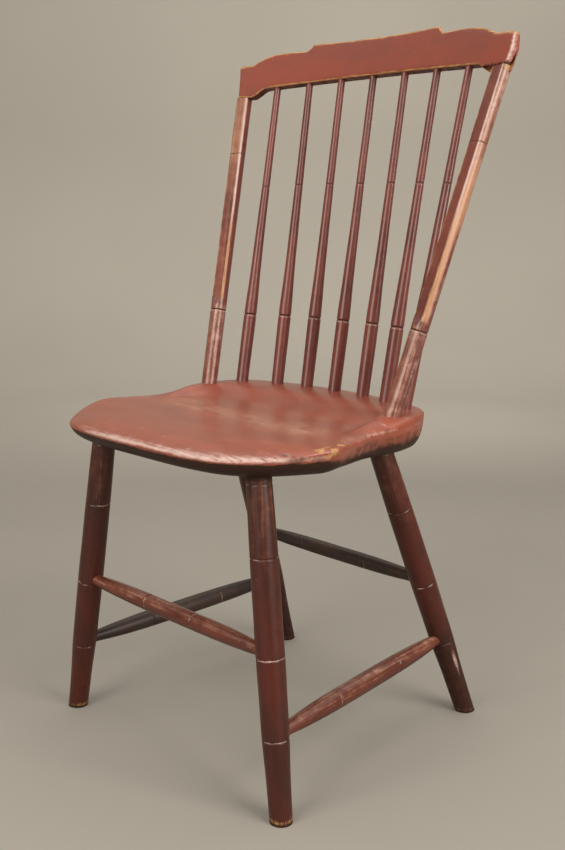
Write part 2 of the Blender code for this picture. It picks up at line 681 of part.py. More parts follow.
def build_post(name, side, material, frame):
    """A back post: round below its node, shaved flat in front above it, with its cutters.

    Where the crest's foot is broken away the post reaches higher, up to the break.
    """
    base, joint, back = post_frame(side)
    run = joint - base
    axis = run.normalized()
    rise = BREAK_HEIGHT if side > 0 else 0.0
    length = run.length + rise
    up_board = Vector((0.0, sin(LEAN), cos(LEAN)))
    crest_plane = local_plane(base, axis, joint + up_board * (rise - FIT), up_board)
    ahead = axis.to_track_quat("Z", "Y").inverted() @ -back
    facing = Vector((ahead.x, ahead.y)).angle_signed(Vector((1.0, 0.0)))
    full_reach = POST_RADIUS - POST_FLAT_DEPTH

    def reach(s):
        share = ease((s - POST_NODE - RING_WIDTH) / POST_FLAT_RUNOUT)
        return POST_RADIUS - POST_FLAT_DEPTH * share

    def radius(s):
        return POST_RADIUS

    corner = acos(full_reach / POST_RADIUS)
    rest = POST_SIDES - 4
    angles = [-corner, -corner / 2, 0.0, corner / 2]
    angles += [corner + (2 * pi - 2 * corner) * i / rest for i in range(rest)]
    angles = [angle if angle <= pi else angle - 2 * pi for angle in angles]
    tenon = POST_CREST_TENON_DIAMETER / 2
    sections = [(-POST_PLUG_LENGTH, POST_PLUG_END_DIAMETER / 2)]
    sections += turned_sections(0.0, POST_NODE, 3, radius, [(POST_NODE, RING_DEPTH)])
    scoop = POST_NODE + RING_WIDTH
    sections += [(scoop + POST_FLAT_RUNOUT * k / 5, POST_RADIUS) for k in range(6)]
    sections += turned_sections(scoop + POST_FLAT_RUNOUT * 2, length - POST_RADIUS * 0.6, 6,
                                radius, [(POST_UPPER_RING, FAINT_RING_DEPTH)])
    sections.append((length, POST_RADIUS, crest_plane))
    sections.append((length, tenon, crest_plane))
    sections.append((length + POST_CREST_TENON_LENGTH, tenon))
    post = add_object(name, turned_body(sections, angles, reach, facing), frame, material)
    place(post, base, axis)
    seat_sections = plug_sections(POST_PLUG_LENGTH, POST_PLUG_END_DIAMETER / 2, POST_RADIUS,
                                  FIT, 0.020)
    seat_tool = cutter(name + "_seat_socket", base, axis, seat_sections, POST_SIDES, frame)
    hole = tenon + FIT
    socket = [(length - 0.010, hole), (length + POST_CREST_TENON_LENGTH + FIT, hole)]
    if rise:
        bed = local_plane(base, axis, joint + up_board * (rise + FIT), up_board)
        around = POST_RADIUS + FIT
        socket = [(run.length - 0.010, around), (length, around, bed), (length, hole, bed),
                  socket[-1]]
    crest_tool = cutter(name + "_crest_socket", base, axis, socket, POST_SIDES, frame)
    return post, seat_tool, crest_tool


def build_pin(name, side, material, frame):
    """A wooden pin from the crest's back face through a post's tenon, and its cutter."""
    base, joint, back = post_frame(side)
    middle = joint + (joint - base).normalized() * PIN_HEIGHT - back * POST_SET_BACK
    inner = -CREST_THICKNESS / 2 + PIN_SKIN
    outer = CREST_THICKNESS / 2 + PIN_PROUD
    radius = PIN_DIAMETER / 2
    pin = add_object(name, turned_body([(inner, radius), (outer, radius)], round_angles(12)),
                     frame, material)
    place(pin, middle, back)
    hole = radius + FIT
    tool = cutter(name + "_hole", middle, back, [(inner - FIT, hole), (outer + 0.010, hole)],
                  12, frame)
    return pin, tool


def board_cutter(name, sections, frame):
    """A cutter for the crest's board from (distance along it, corners) sections.

    Each corner is given by its offset behind the middle surface and its height.
    """
    bm = bmesh.new()
    loops = [[bm.verts.new(board_point(x, offset, height)) for offset, height in corners]
             for x, corners in sections]
    for lower, upper in zip(loops[:-1], loops[1:]):
        for i in range(4):
            j = (i + 1) % 4
            bm.faces.new((lower[i], lower[j], upper[j], upper[i]))
    bm.faces.new(loops[0])
    bm.faces.new(loops[-1])
    tool = add_object(name, bm, frame, None)
    tool.location = (0.0, CREST_ORIGIN_Y, CREST_ORIGIN_Z)
    tool.rotation_euler = (-LEAN, 0.0, 0.0)
    hide_tool(tool)
    return tool


def build_break(frame):
    """The cutter for the front of the foot that is broken away at one post."""
    past = 0.002
    half = CREST_THICKNESS / 2
    front, deep = -half - past, BREAK_DEPTH - half
    beside = CREST_POST_SPAN - POST_RADIUS - BREAK_INSIDE
    end = CREST_POST_SPAN + CREST_EAR_LEFT + CREST_FLARE_LEFT[0] + past
    stations = [(crest_stops(1)[4] - 0.005, CREST_ARCH_SIDE - CREST_LEAST_COLUMN / 4),
                (beside, BREAK_HEIGHT), (end, BREAK_HEIGHT)]
    return board_cutter("broken_foot",
                        [(x, [(front, -past), (deep, -past), (deep, top), (front, top)])
                         for x, top in stations], frame)


def build_split(frame):
    """The cutter for the corner of the crest that is split away at one post tenon."""
    end = CREST_POST_SPAN + CREST_EAR_LEFT
    front = SPLIT_FRONT_WALL - CREST_THICKNESS / 2
    back = CREST_THICKNESS / 2 - SPLIT_BACK_WALL
    corners = [(front, -0.002), (back, -0.002), (back, SPLIT_HEIGHT / 2),
               (back - 0.001, SPLIT_HEIGHT)]
    return board_cutter("split_corner", [(end - SPLIT_DEPTH, corners),
                                         (end + CREST_FLARE_LEFT[0] + 0.002, corners)], frame)


def centre_on_floor(frame, pieces):
    """Move the chair so that the middle of its footprint box is at the origin."""
    corners = [piece.matrix_basis @ vert.co for piece in pieces for vert in piece.data.vertices]
    low_x, high_x = min(c.x for c in corners), max(c.x for c in corners)
    low_y, high_y = min(c.y for c in corners), max(c.y for c in corners)
    frame.location = (-(low_x + high_x) / 2, -(low_y + high_y) / 2, -min(c.z for c in corners))


def build_chair():
    """Build every piece of the chair and cut its sockets."""
    clear_scene()
    frame = bpy.data.objects.new("chair", None)
    bpy.context.scene.collection.objects.link(frame)
    seat_paint = painted("seat paint", RED_SEAT, 0.42)
    crest_paint = painted("crest paint", RED_CREST, 0.45)
    back_paint = painted("back paint", RED_TURNED, 0.40)
    leg_paint = painted("leg paint", RED_LEG, 0.42)
    bare = painted("bare wood", BARE_WOOD, 0.60)

    seat = build_seat(seat_paint, frame)
    crest = build_crest(crest_paint, frame)
    pieces = [seat, crest]

    legs = {}
    for row, socket, foot in (("front", FRONT_SOCKET, FRONT_FOOT), ("rear", REAR_SOCKET, REAR_FOOT)):
        for side, label in ((1, "left"), (-1, "right")):
            near, far = (side * socket[0], socket[1]), (side * foot[0], foot[1])
            leg, tool = build_leg(f"leg_{row}_{label}", near, far, leg_paint, frame)
            cut(seat, tool)
            legs[row, label] = (leg, near, far)
            pieces.append(leg)

    crossings = [("stretcher_front", ("front", "right"), ("front", "left"), CROSS_STRETCHER_DROP,
                  FRONT_STRETCHER_DIAMETER, FRONT_STRETCHER_RINGS),
                 ("stretcher_rear", ("rear", "right"), ("rear", "left"), CROSS_STRETCHER_DROP,
                  REAR_STRETCHER_DIAMETER, LONG_STRETCHER_RINGS),
                 ("stretcher_left", ("front", "left"), ("rear", "left"), SIDE_STRETCHER_DROP,
                  SIDE_STRETCHER_DIAMETER, LONG_STRETCHER_RINGS),
                 ("stretcher_right", ("front", "right"), ("rear", "right"), SIDE_STRETCHER_DROP,
                  SIDE_STRETCHER_DIAMETER, LONG_STRETCHER_RINGS)]
    for name, first, second, drop, diameter, half_rings in crossings:
        first_leg, first_socket, first_foot = legs[first]
        second_leg, second_socket, second_foot = legs[second]
        start = leg_point(first_socket, first_foot, drop)[0]
        end = leg_point(second_socket, second_foot, drop)[0]
        radius = leg_radius(drop)
        piece, first_tool, second_tool = build_stretcher(name, start, end, radius, radius,
                                                         diameter, half_rings, leg_paint, frame)
        cut(first_leg, first_tool)
        cut(second_leg, second_tool)
        pieces.append(piece)

    for index, base in enumerate(spindle_bases(), 1):
        board_x = CREST_POST_SPAN * (2 * index / (SPINDLE_COUNT + 1) - 1)
        piece, seat_tool, crest_tool = build_spindle(f"spindle_{index}", base, board_x,
                                                     back_paint, frame)
        cut(seat, seat_tool)
        cut(crest, crest_tool)
        pieces.append(piece)

    for side, label in ((1, "left"), (-1, "right")):
        post, seat_tool, crest_tool = build_post(f"post_{label}", side, back_paint, frame)
        pin, pin_tool = build_pin(f"crest_pin_{label}", side, bare, frame)
        cut(seat, seat_tool)
        cut(crest, crest_tool)
        cut(crest, pin_tool)
        cut(post, pin_tool)
        pieces += [post, pin]

    cut(crest, build_break(frame))
    cut(crest, build_split(frame))
    centre_on_floor(frame, pieces)


build_chair()
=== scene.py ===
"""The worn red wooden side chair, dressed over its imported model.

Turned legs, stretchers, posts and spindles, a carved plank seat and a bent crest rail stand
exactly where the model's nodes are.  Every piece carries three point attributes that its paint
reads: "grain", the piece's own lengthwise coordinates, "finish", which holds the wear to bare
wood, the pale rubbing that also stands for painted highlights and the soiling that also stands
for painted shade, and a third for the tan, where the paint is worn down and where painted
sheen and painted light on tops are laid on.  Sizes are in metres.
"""
from math import cos, exp, pi, radians, sin, sqrt

import bmesh
import bpy
from bpy.props import FloatProperty, FloatVectorProperty, PointerProperty
from bpy.types import Operator, Panel, PropertyGroup
from mathutils import Matrix, Vector, noise


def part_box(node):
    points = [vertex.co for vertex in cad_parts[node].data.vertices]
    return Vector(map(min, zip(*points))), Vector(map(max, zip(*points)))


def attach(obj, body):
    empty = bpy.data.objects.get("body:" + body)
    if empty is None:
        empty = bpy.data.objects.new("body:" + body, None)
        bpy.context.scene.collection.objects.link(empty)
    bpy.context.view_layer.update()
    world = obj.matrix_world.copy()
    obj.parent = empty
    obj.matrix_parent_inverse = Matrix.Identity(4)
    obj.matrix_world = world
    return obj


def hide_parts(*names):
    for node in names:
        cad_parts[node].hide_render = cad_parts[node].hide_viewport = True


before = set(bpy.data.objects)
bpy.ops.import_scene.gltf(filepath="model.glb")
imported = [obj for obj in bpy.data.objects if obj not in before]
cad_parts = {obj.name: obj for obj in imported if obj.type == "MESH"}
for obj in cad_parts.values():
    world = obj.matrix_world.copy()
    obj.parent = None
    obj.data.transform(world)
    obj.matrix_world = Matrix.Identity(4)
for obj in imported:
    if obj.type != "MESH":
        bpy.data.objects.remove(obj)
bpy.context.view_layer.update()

bl_info = {
    "name": "Worn Red Side Chair",
    "version": (1, 0, 0),
    "blender": (4, 5, 0),
    "location": "3D View > Sidebar > Chair",
    "description": "Builds a worn red wooden side chair and its studio",
    "category": "Object",
}

# Seat outline, back to front: x, y, drop of the arris below the deck, undercut.
SEAT_BACK = 0.022
SEAT_OUTLINE = ((0.0, SEAT_BACK, 0.0030, 0.0160), (0.107, 0.0100, 0.0030, 0.0160),
                (0.1690, -0.0195, 0.0030, 0.0160), (0.1895, -0.072, 0.0060, 0.0160),
                (0.191, -0.130, 0.0126, 0.0214), (0.204, -0.180, 0.0124, 0.0278),
                (0.214, -0.228, 0.0122, 0.0353), (0.173, -0.300, 0.0205, 0.0375),
                (0.118, -0.334, 0.0205, 0.0430), (0.0, -0.342, 0.0205, 0.0430))
DROP_BACK = 0.0030
DROP_FRONT = 0.0205
HOLLOW_CENTRE_Y = -0.130
HOLLOW_WIDTH = 0.110
HOLLOW_LENGTH = 0.080
HOLLOW_START = 0.022
HOLLOW_RAMP = 0.075
# How far in from the rim the seat's top is drawn by distance, and after that by share.
SEAT_BAND = 0.045

# Legs: their places in the seat's underside and on the floor, and their scored rings.
FRONT_LEG = ((0.1447, -0.2716), (0.2005, -0.2899))
REAR_LEG = ((0.1321, -0.0599), (0.1736, 0.0815))
LEG_COLLAR = 0.0098
LEG_NODES = (0.0910, 0.2020, 0.2930)
CROSS_STRETCHER_DROP = 0.1978
SIDE_STRETCHER_DROP = 0.2890
STRETCHER_PARALLEL = 0.0045
FRONT_STRETCHER_RINGS = 0.0440
LONG_STRETCHER_RINGS = 0.0585

# Back: the posts' and spindles' places on the deck and their scored rings above it.
POST_BASE = (0.1682, -0.0773)
POST_FLAT_RUNOUT = 0.0170
POST_SET_BACK = 0.0012
POST_NODE = 0.1031
POST_UPPER_RING = 0.3300
SPINDLE_PAIRS = ((0.0514, -0.0007), (0.0995, -0.0107), (0.1487, -0.0328))
SPINDLE_NODE = 0.0945
SPINDLE_WAIST = 0.1500
SPINDLE_MIDDLE = 0.2350
SPINDLE_UPPER_RING = 0.2750
SPINDLE_SET_BACK = 0.0005
FAINT_RING_DEPTH = 0.0004

# Crest rail: a board bent round an upright arc and leaning back with the posts.
CREST_RADIUS = 1.027
CREST_LEAN = radians(17.6)
CREST_RISE = 0.3936
CREST_POST_SPAN = 0.2214
CREST_POST_Y = 0.0368
CREST_STEP_TOP = 0.0473
CREST_SHOULDER_TOP = 0.0643
CREST_COVE = 0.0100
CREST_ARCH_SIDE = 0.0135
CREST_ARCH_MIDDLE = 0.0232
CREST_ARCH_CURVE = 0.0250
CREST_TAPER_FOOT = 0.0252
CREST_END_LEAN = 0.0145
# At each end: where the tablet, the low step and the board stop, where the arch's curve
# comes down, the height of the ear and how far its end leans out, half way and at its top.
LEFT_END = (0.1045, 0.2070, 0.2345, 0.21005, 0.0432, 0.0050, 0.0042)
RIGHT_END = (0.1130, 0.2115, 0.2275, 0.20645, 0.0440, 0.0045, 0.0085)
CREST_BOW = CREST_RADIUS * (1 - cos(CREST_POST_SPAN / CREST_RADIUS))
# The broken foot and the split corner beside the sitter's left post.
BREAK_START = LEFT_END[3] - CREST_ARCH_CURVE - 0.008
BREAK_HEIGHT = 0.0072
BREAK_DEPTH = 0.0100
SPLIT_HEIGHT = 0.0245
SPLIT_POINTS = (13, 11)
SPLIT_DEPTH = 0.0100
SPLIT_FRONT_WALL = 0.0055
SPLIT_BACK_WALL = 0.0022
BREAK_ROUGHNESS = 0.0012
SPLIT_ROUGHNESS = 0.0008
# Past this place the crest's front is drawn in two parts, below and above the break.
TWO_PART_START = 0.15

# Shaping: the step along a turned piece, how far it is out of true, and two tolerances.
TURNED_STEP = 0.003
TURNED_WOBBLE = 0.00022
WELD_DISTANCE = 0.000002
CUT_TOLERANCE = 0.000001

# The pieces are shaped round the middle spindle's foot and then set back to the frame.
SEAT_LOW, SEAT_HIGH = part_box("seat")
SET_BACK = Vector(((SEAT_LOW[0] + SEAT_HIGH[0]) / 2, SEAT_HIGH[1] - SEAT_BACK, 0.0))

# Camera, as found from the chair in the photograph, with the middle spindle's foot at 0.
CAMERA_PLACE = (0.982146, -1.043160, 0.663764)
CAMERA_AZIMUTH = 0.803705
CAMERA_ELEVATION = 0.199729
CAMERA_ROLL = 0.003298
CAMERA_LENS = 45.727
CAMERA_SHIFT = (-0.0000847, 0.004166)

# Studio: the paper's flat floor, the wall's place and height, and the light.
FLOOR_REACH = 2.6
WALL_REACH = 3.6
WALL_HEIGHT = 3.2
WARM_WHITE = (1.0, 0.97, 0.93)
WORLD_STRENGTH = 1.28
SOFTBOX_AIM = (0.0, 0.0, 0.50)
# Soft lights: name, place, the point that they face, width, height and power.
SOFT_LIGHTS = (("Left softbox", (0.12, -2.30, 1.45), SOFTBOX_AIM, 1.3, 1.8, 40.0),
               ("Right softbox", (2.29, 0.16, 1.45), SOFTBOX_AIM, 1.3, 1.8, 56.0),
               ("Wall light", (-1.15, 1.30, 1.55), (-2.60, 2.70, 0.90), 1.4, 1.2, 28.0))

# Paints: the red and its deeper tone, roughness, the ranges that tone and wear are read over,
# and how thick the gloss over it is.
PAINTS = {
    "Seat paint": ("seat_red", "seat_deep", 0.32, (0.38, 0.64), (1.10, 1.30), 0.16),
    "Crest paint": ("crest_red", "crest_deep", 0.34, (0.34, 0.66), (1.10, 1.30), 0.06),
    "Back paint": ("back_red", "back_deep", 0.32, (0.36, 0.60), (1.02, 1.28), 0.22),
    "Leg paint": ("leg_red", "leg_deep", 0.38, (0.38, 0.62), (1.08, 1.30), 0.04),
    # The stretchers' two paints are a lighter and a darker copy of the leg paint: painted light in
    # front, painted shade behind.
    "Lit stretcher paint": ("lit_stretcher_red", "leg_red", 0.34, (0.38, 0.62), (1.08, 1.30), 0.16),
    "Shaded stretcher paint": ("shaded_stretcher_red", "shaded_stretcher_deep", 0.44, (0.38, 0.62), (1.08, 1.30), 0.03)}
# The ranges over which worn-down paint with painted sheen, pale rubbing with painted highlights,
# and soiling with painted shade show, with the paint's unevenness added.
THIN_AND_SHEEN_RANGE = (0.68, 1.45)
RUB_AND_HIGHLIGHT_RANGE = (0.86, 1.34)
GRIME_AND_SHADE_RANGE = (0.62, 1.05)
FLECK_RANGE = (0.70, 0.76)
GLOSS_ROUGHNESS = 0.32

# Worn places: centre, reach, then how much bare wood, pale rubbing and grime they show.
SEAT_MARKS = (
    ((0.1955, -0.2680, 0.4070), 0.010, 0.50, 0.15, 0.46),
    ((0.2000, -0.2615, 0.4060), 0.008, 0.35, 0.15, 0.50),
    ((0.1864, -0.2718, 0.4107), 0.008, 0.35, 0.30, 0.45),
    ((0.2042, -0.2387, 0.4139), 0.008, 0.80, 0.10, 0.00),
    ((0.2145, -0.2249, 0.4119), 0.007, 0.85, 0.05, 0.00),
    ((0.2062, -0.2067, 0.4149), 0.008, 0.80, 0.10, 0.00),
    ((0.2122, -0.2317, 0.4076), 0.007, 0.72, 0.05, 0.25),
    ((0.2019, -0.2257, 0.4149), 0.006, 0.75, 0.10, 0.00),
    ((0.1896, -0.1694, 0.4147), 0.007, 0.55, 0.25, 0.10),
    ((0.1885, -0.1878, 0.4149), 0.007, 0.60, 0.25, 0.00),
    ((0.1821, -0.1136, 0.4208), 0.006, 0.35, 0.30, 0.30),
    ((0.1834, -0.0704, 0.4236), 0.006, 0.35, 0.30, 0.20),
    ((0.1902, -0.1122, 0.4136), 0.009, 0.15, 0.15, 0.42),
    ((0.2100, -0.2450, 0.4050), 0.008, 0.30, 0.15, 0.44),
    ((-0.0112, -0.1663, 0.4121), 0.004, 0.35, 0.40, 0.00),
    ((-0.1266, -0.1666, 0.4141), 0.004, 0.35, 0.40, 0.00),
    ((-0.0207, -0.3055, 0.4138), 0.004, 0.30, 0.40, 0.00),
    ((0.0313, -0.3120, 0.4131), 0.004, 0.30, 0.40, 0.00),
    ((0.0904, -0.3237, 0.4106), 0.005, 0.30, 0.35, 0.00),
    ((-0.0854, -0.3025, 0.4137), 0.005, 0.30, 0.35, 0.00),
    ((0.1375, -0.1834, 0.4145), 0.004, 0.30, 0.35, 0.00),
    ((0.0776, -0.2214, 0.4143), 0.004, 0.28, 0.35, 0.00))


def length(name, description, default):
    """A size that the sidebar shows in metres."""
    return FloatProperty(name=name, description=description, default=default, min=0.0001,
                         precision=4, unit="LENGTH", subtype="DISTANCE")


def colour(name, description, default):
    """A colour that the sidebar shows."""
    return FloatVectorProperty(name=name, description=description, default=default, size=3,
                               min=0.0, max=1.0, subtype="COLOR")


class ChairSizes(PropertyGroup):
    """The sizes of the chair's pieces."""
    deck_height: length("Deck height", "Height of the flat that the spindles stand on",
                        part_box("seat")[1][2])
    seat_thickness: length("Seat thickness", "From the deck to the underside", 0.0445)
    seat_arris: length("Seat arris", "Rounding of the seat's top edge", 0.0026)
    hollow_depth: length("Hollow depth", "How deep the seat is dished", 0.0110)
    hollow_extra: length("Middle depth", "Extra depth in the middle of the hollow", 0.0040)
    ring_width: length("Ring width", "Width of a scored ring", 0.0028)
    ring_depth: length("Ring depth", "Depth of a scored ring", 0.0009)
    leg_top: length("Leg at the seat", "Diameter where a leg enters the seat", 0.0290)
    leg_upper: length("Leg, upper", "Diameter between the upper two rings", 0.0322)
    leg_middle: length("Leg, middle", "Diameter at the middle ring", 0.0328)
    leg_lower: length("Leg, lower", "Diameter at the lowest ring", 0.0310)
    leg_foot: length("Foot", "Diameter on the floor", 0.0253)
    front_stretcher: length("Front stretcher", "Diameter in the middle", 0.0210)
    rear_stretcher: length("Rear stretcher", "Diameter in the middle", 0.0202)
    side_stretcher: length("Side stretchers", "Diameter in the middle", 0.0236)
    stretcher_end: length("Stretcher ends", "Diameter at the legs", 0.0149)
    post: length("Post", "Diameter of the back posts", 0.0215)
    post_flat: length("Post flat", "Depth of the shaved front of a post", 0.0040)
    spindle_base: length("Spindle foot", "Diameter on the deck", 0.0168)
    spindle_node: length("Spindle ring", "Diameter at the ring", 0.0173)
    spindle_waist: length("Spindle waist", "Diameter above the ring", 0.0144)
    spindle_middle: length("Spindle middle", "Diameter half way up", 0.0118)
    spindle_top: length("Spindle top", "Diameter at the crest", 0.0095)
    crest_thickness: length("Crest thickness", "Thickness of the crest's board", 0.0135)
    crest_arris: length("Crest arris", "Rounding of the crest's edges", 0.0018)
    crest_top: length("Crest top edge", "Thickness at the tablet's top edge", 0.0052)
    tablet_top: length("Tablet top", "Height of the tablet above the posts", 0.0738)


class ChairColours(PropertyGroup):
    """The chair's paint, its wear and the backdrop."""
    seat_red: colour("Seat red", "Paint on the seat", (0.300, 0.069, 0.034))
    seat_deep: colour("Seat deep red", "Darker tone in the seat's paint", (0.220, 0.052, 0.028))
    crest_red: colour("Crest red", "Paint on the crest", (0.270, 0.050, 0.022))
    crest_deep: colour("Crest deep red", "Darker tone in the crest's paint",
                       (0.200, 0.048, 0.030))
    back_red: colour("Back red", "Paint on posts and spindles", (0.200, 0.048, 0.030))
    back_deep: colour("Back deep red", "Darker tone on posts and spindles",
                      (0.105, 0.024, 0.018))
    leg_red: colour("Leg red", "Paint on legs and stretchers", (0.082, 0.013, 0.006))
    leg_deep: colour("Leg deep red", "Darker tone on legs and stretchers",
                     (0.040, 0.010, 0.006))
    # The stretchers' paint: a lighter copy of the leg paint in front and a darker, greyer copy
    # behind, painted light and painted shade.
    lit_stretcher_red: colour("Lit stretcher red", "Lighter leg paint for the stretchers in front, as painted light",
                       (0.155, 0.034, 0.016))
    shaded_stretcher_red: colour("Shaded stretcher red", "Darker greyed leg paint for the stretchers behind, as painted shade",
                     (0.062, 0.032, 0.022))
    shaded_stretcher_deep: colour("Shaded stretcher deep red", "Darker tone of the greyed paint",
                      (0.026, 0.017, 0.013))
    # Besides worn-down paint, the tan below is laid on as painted sheen and painted light on tops.
    tan: colour("Tan", "Thin worn paint with the wood glowing through, and painted sheen", (0.430, 0.205, 0.110))
    bare_light: colour("Bare wood", "Wood where the paint is gone", (0.500, 0.260, 0.095))
    bare_dark: colour("Bare wood grain", "Darker grain of the bare wood",
                      (0.270, 0.115, 0.040))
    # The pale colour below also serves as painted highlights on edges, rings and ends.
    pale: colour("Pale rubbing and highlights", "Ground coat that shows through, and painted highlights", (0.560, 0.400, 0.340))
    # The darkest colour below also serves as painted shade in grooves, under edges and on
    # undersides.
    grime_and_shade: colour("Grime and shade", "Dirt in rings, chips and feet, and painted shade", (0.034, 0.015, 0.010))
    backdrop: colour("Backdrop", "Seamless studio backdrop", (0.300, 0.277, 0.238))


def ease(t):
    """Smooth step from 0 to 1."""
    t = min(1.0, max(0.0, t))
    return t * t * (3 - 2 * t)


def smooth_curve(stations, s):
    """Read a smooth curve through (position, value) stations."""
    if s <= stations[0][0]:
        return stations[0][1]
    if s >= stations[-1][0]:
        return stations[-1][1]
    i = max(k for k in range(len(stations) - 1) if stations[k][0] <= s)
    (x0, y0), (x1, y1) = stations[i], stations[i + 1]
    before = stations[i - 1] if i > 0 else stations[i]
    after = stations[i + 2] if i + 2 < len(stations) else stations[i + 1]
    m0 = (y1 - before[1]) / (x1 - before[0])
    m1 = (after[1] - y0) / (after[0] - x0)
    span = x1 - x0
    t = (s - x0) / span
    return ((2 * t ** 3 - 3 * t ** 2 + 1) * y0 + (t ** 3 - 2 * t ** 2 + t) * m0 * span
            + (3 * t ** 2 - 2 * t ** 3) * y1 + (t ** 3 - t ** 2) * m1 * span)


def bell(distance, reach):
    """1 at no distance, fading to nothing past the reach."""
    return exp(-(distance / reach) ** 2)


# ---------------------------------------------------------------- paint and wood

def node(tree, kind, inputs=None, **settings):
    """Add a node.  inputs gives sockets a value, or another node's output to read."""
    made = tree.nodes.new(kind)
    for key, value in settings.items():
        setattr(made, key, value)
    for key, value in (inputs or {}).items():
        if isinstance(value, bpy.types.NodeSocket):
            tree.links.new(value, made.inputs[key])
        else:
            made.inputs[key].default_value = value
    return made


def clouds(tree, vector, scale, detail=4.0, roughness=0.55):
    """A noise pattern from 0 to 1."""
    return node(tree, "ShaderNodeTexNoise", {"Vector": vector, "Scale": scale, "Detail": detail,
                                             "Roughness": roughness}).outputs[0]


def stretched(tree, vector, scale):
    """The same coordinates, drawn out by a different amount each way."""
    return node(tree, "ShaderNodeMapping", {"Vector": vector, "Scale": scale}).outputs[0]


def sum_of(tree, *terms):
    """Add up (output, weight) terms."""
    total = None
    for output, weight in terms:
        made = node(tree, "ShaderNodeMath", {0: output, 1: weight}, operation="MULTIPLY_ADD")
        if total is not None:
            tree.links.new(total, made.inputs[2])
        else:
            made.inputs[2].default_value = 0.0
        total = made.outputs[0]
    return total


def spread(tree, value, low, high, to_low=0.0, to_high=1.0):
    """Stretch the part of a value between low and high to a new range, smoothly."""
    return node(tree, "ShaderNodeMapRange", {0: value, 1: low, 2: high, 3: to_low, 4: to_high},
                interpolation_type="SMOOTHSTEP").outputs[0]


def blend(tree, share, first, second, mode="MIX"):
    """Mix two colours, each given as a colour or as another node's output."""
    first = first if isinstance(first, bpy.types.NodeSocket) else (*first, 1.0)
    second = second if isinstance(second, bpy.types.NodeSocket) else (*second, 1.0)
    return node(tree, "ShaderNodeMix", {0: share, 6: first, 7: second}, data_type="RGBA",
                blend_type=mode).outputs[2]


def new_material(name, colour_seen):
    """An empty node material and its Principled shader."""
    material = bpy.data.materials.new(name)
    material.use_nodes = True
    material.diffuse_color = (*colour_seen, 1.0)
    return material, material.node_tree, material.node_tree.nodes["Principled BSDF"]


def worn_paint(name, colours):
    """Old paint, made once: mottled reds, brush lines, worn-down, pale and bare places, soiling,
    and the painted sheen, highlights and shade that the finish attributes carry.
    """
    if name in bpy.data.materials:
        return bpy.data.materials[name]
    red, deep, roughness, tone_range, wear_range, coat = PAINTS[name]
    red, deep = getattr(colours, red), getattr(colours, deep)
    material, tree, shader = new_material(name, red)
    grain = node(tree, "ShaderNodeAttribute", attribute_name="grain").outputs["Vector"]
    finish = node(tree, "ShaderNodeAttribute", attribute_name="finish").outputs["Color"]
    thin_and_sheen = node(tree, "ShaderNodeAttribute", attribute_name="thin_and_sheen").outputs["Fac"]
    wear, rub_and_highlight, dirt_and_shade = node(tree, "ShaderNodeSeparateColor", {0: finish}).outputs[:3]
    lines = clouds(tree, stretched(tree, grain, (1.0, 1.0, 0.035)), 330.0, 5.0, 0.6)
    fibres = clouds(tree, stretched(tree, grain, (1.0, 1.0, 0.10)), 620.0, 3.0, 0.6)
    patches = clouds(tree, stretched(tree, grain, (1.0, 1.0, 0.35)), 26.0, 5.0, 0.58)
    mottle = clouds(tree, grain, 90.0, 5.0, 0.62)
    grit = clouds(tree, grain, 520.0, 3.0, 0.6)

    tone = spread(tree, sum_of(tree, (patches, 0.6), (mottle, 0.25), (lines, 0.15)), *tone_range)
    paint = blend(tree, tone, deep, red)
    paint = blend(tree, spread(tree, lines, 0.35, 0.75, 0.0, 0.35), paint, deep)
    bare = blend(tree, spread(tree, fibres, 0.38, 0.62), colours.bare_dark, colours.bare_light)

    thin_and_sheen_mask = spread(tree, sum_of(tree, (thin_and_sheen, 1.0), (mottle, 0.45), (lines, 0.70)), *THIN_AND_SHEEN_RANGE)
    rub_and_highlight_mask = spread(tree, sum_of(tree, (rub_and_highlight, 1.0), (mottle, 0.4), (lines, 0.7), (grit, 0.3)),
                    *RUB_AND_HIGHLIGHT_RANGE)
    worn = spread(tree, sum_of(tree, (wear, 1.0), (fibres, 0.45), (mottle, 0.55), (patches, 0.3)),
                  *wear_range)
    dirt_and_shade_mask = spread(tree, sum_of(tree, (dirt_and_shade, 1.0), (mottle, 0.6), (grit, 0.2)), *GRIME_AND_SHADE_RANGE)
    fleck = spread(tree, grit, *FLECK_RANGE, 0.0, 0.55)

    skin = blend(tree, thin_and_sheen_mask, paint, colours.tan)
    skin = blend(tree, fleck, skin, colours.pale)
    skin = blend(tree, rub_and_highlight_mask, skin, colours.pale)
    skin = blend(tree, worn, skin, bare)
    skin = blend(tree, dirt_and_shade_mask, skin, colours.grime_and_shade)
    tree.links.new(skin, shader.inputs["Base Color"])

    gloss = sum_of(tree, (worn, 0.22), (lines, 0.16), (mottle, 0.14), (dirt_and_shade_mask, 0.25))
    tree.links.new(spread_line(tree, gloss, 0.0, 1.0, roughness - 0.15, roughness + 0.85),
                   shader.inputs["Roughness"])
    height = sum_of(tree, (lines, 0.35), (mottle, 0.25), (fibres, 0.12), (worn, -0.45),
                    (fleck, -0.05))
    bump = node(tree, "ShaderNodeBump", {"Strength": 0.28, "Distance": 0.0006, "Height": height})
    tree.links.new(bump.outputs[0], shader.inputs["Normal"])
    shader.inputs["Coat Weight"].default_value = coat
    shader.inputs["Coat Roughness"].default_value = GLOSS_ROUGHNESS
    sheen = 0.5 if coat > 0.15 else 0.36
    shader.inputs["Specular IOR Level"].default_value = sheen
    tree.links.new(spread_line(tree, dirt_and_shade_mask, 0.0, 1.0, sheen, 0.10),
                   shader.inputs["Specular IOR Level"])
    return material


def spread_line(tree, value, low, high, to_low, to_high):
    """Stretch a value to a new range along a straight line."""
    return node(tree, "ShaderNodeMapRange",
                {0: value, 1: low, 2: high, 3: to_low, 4: to_high}).outputs[0]


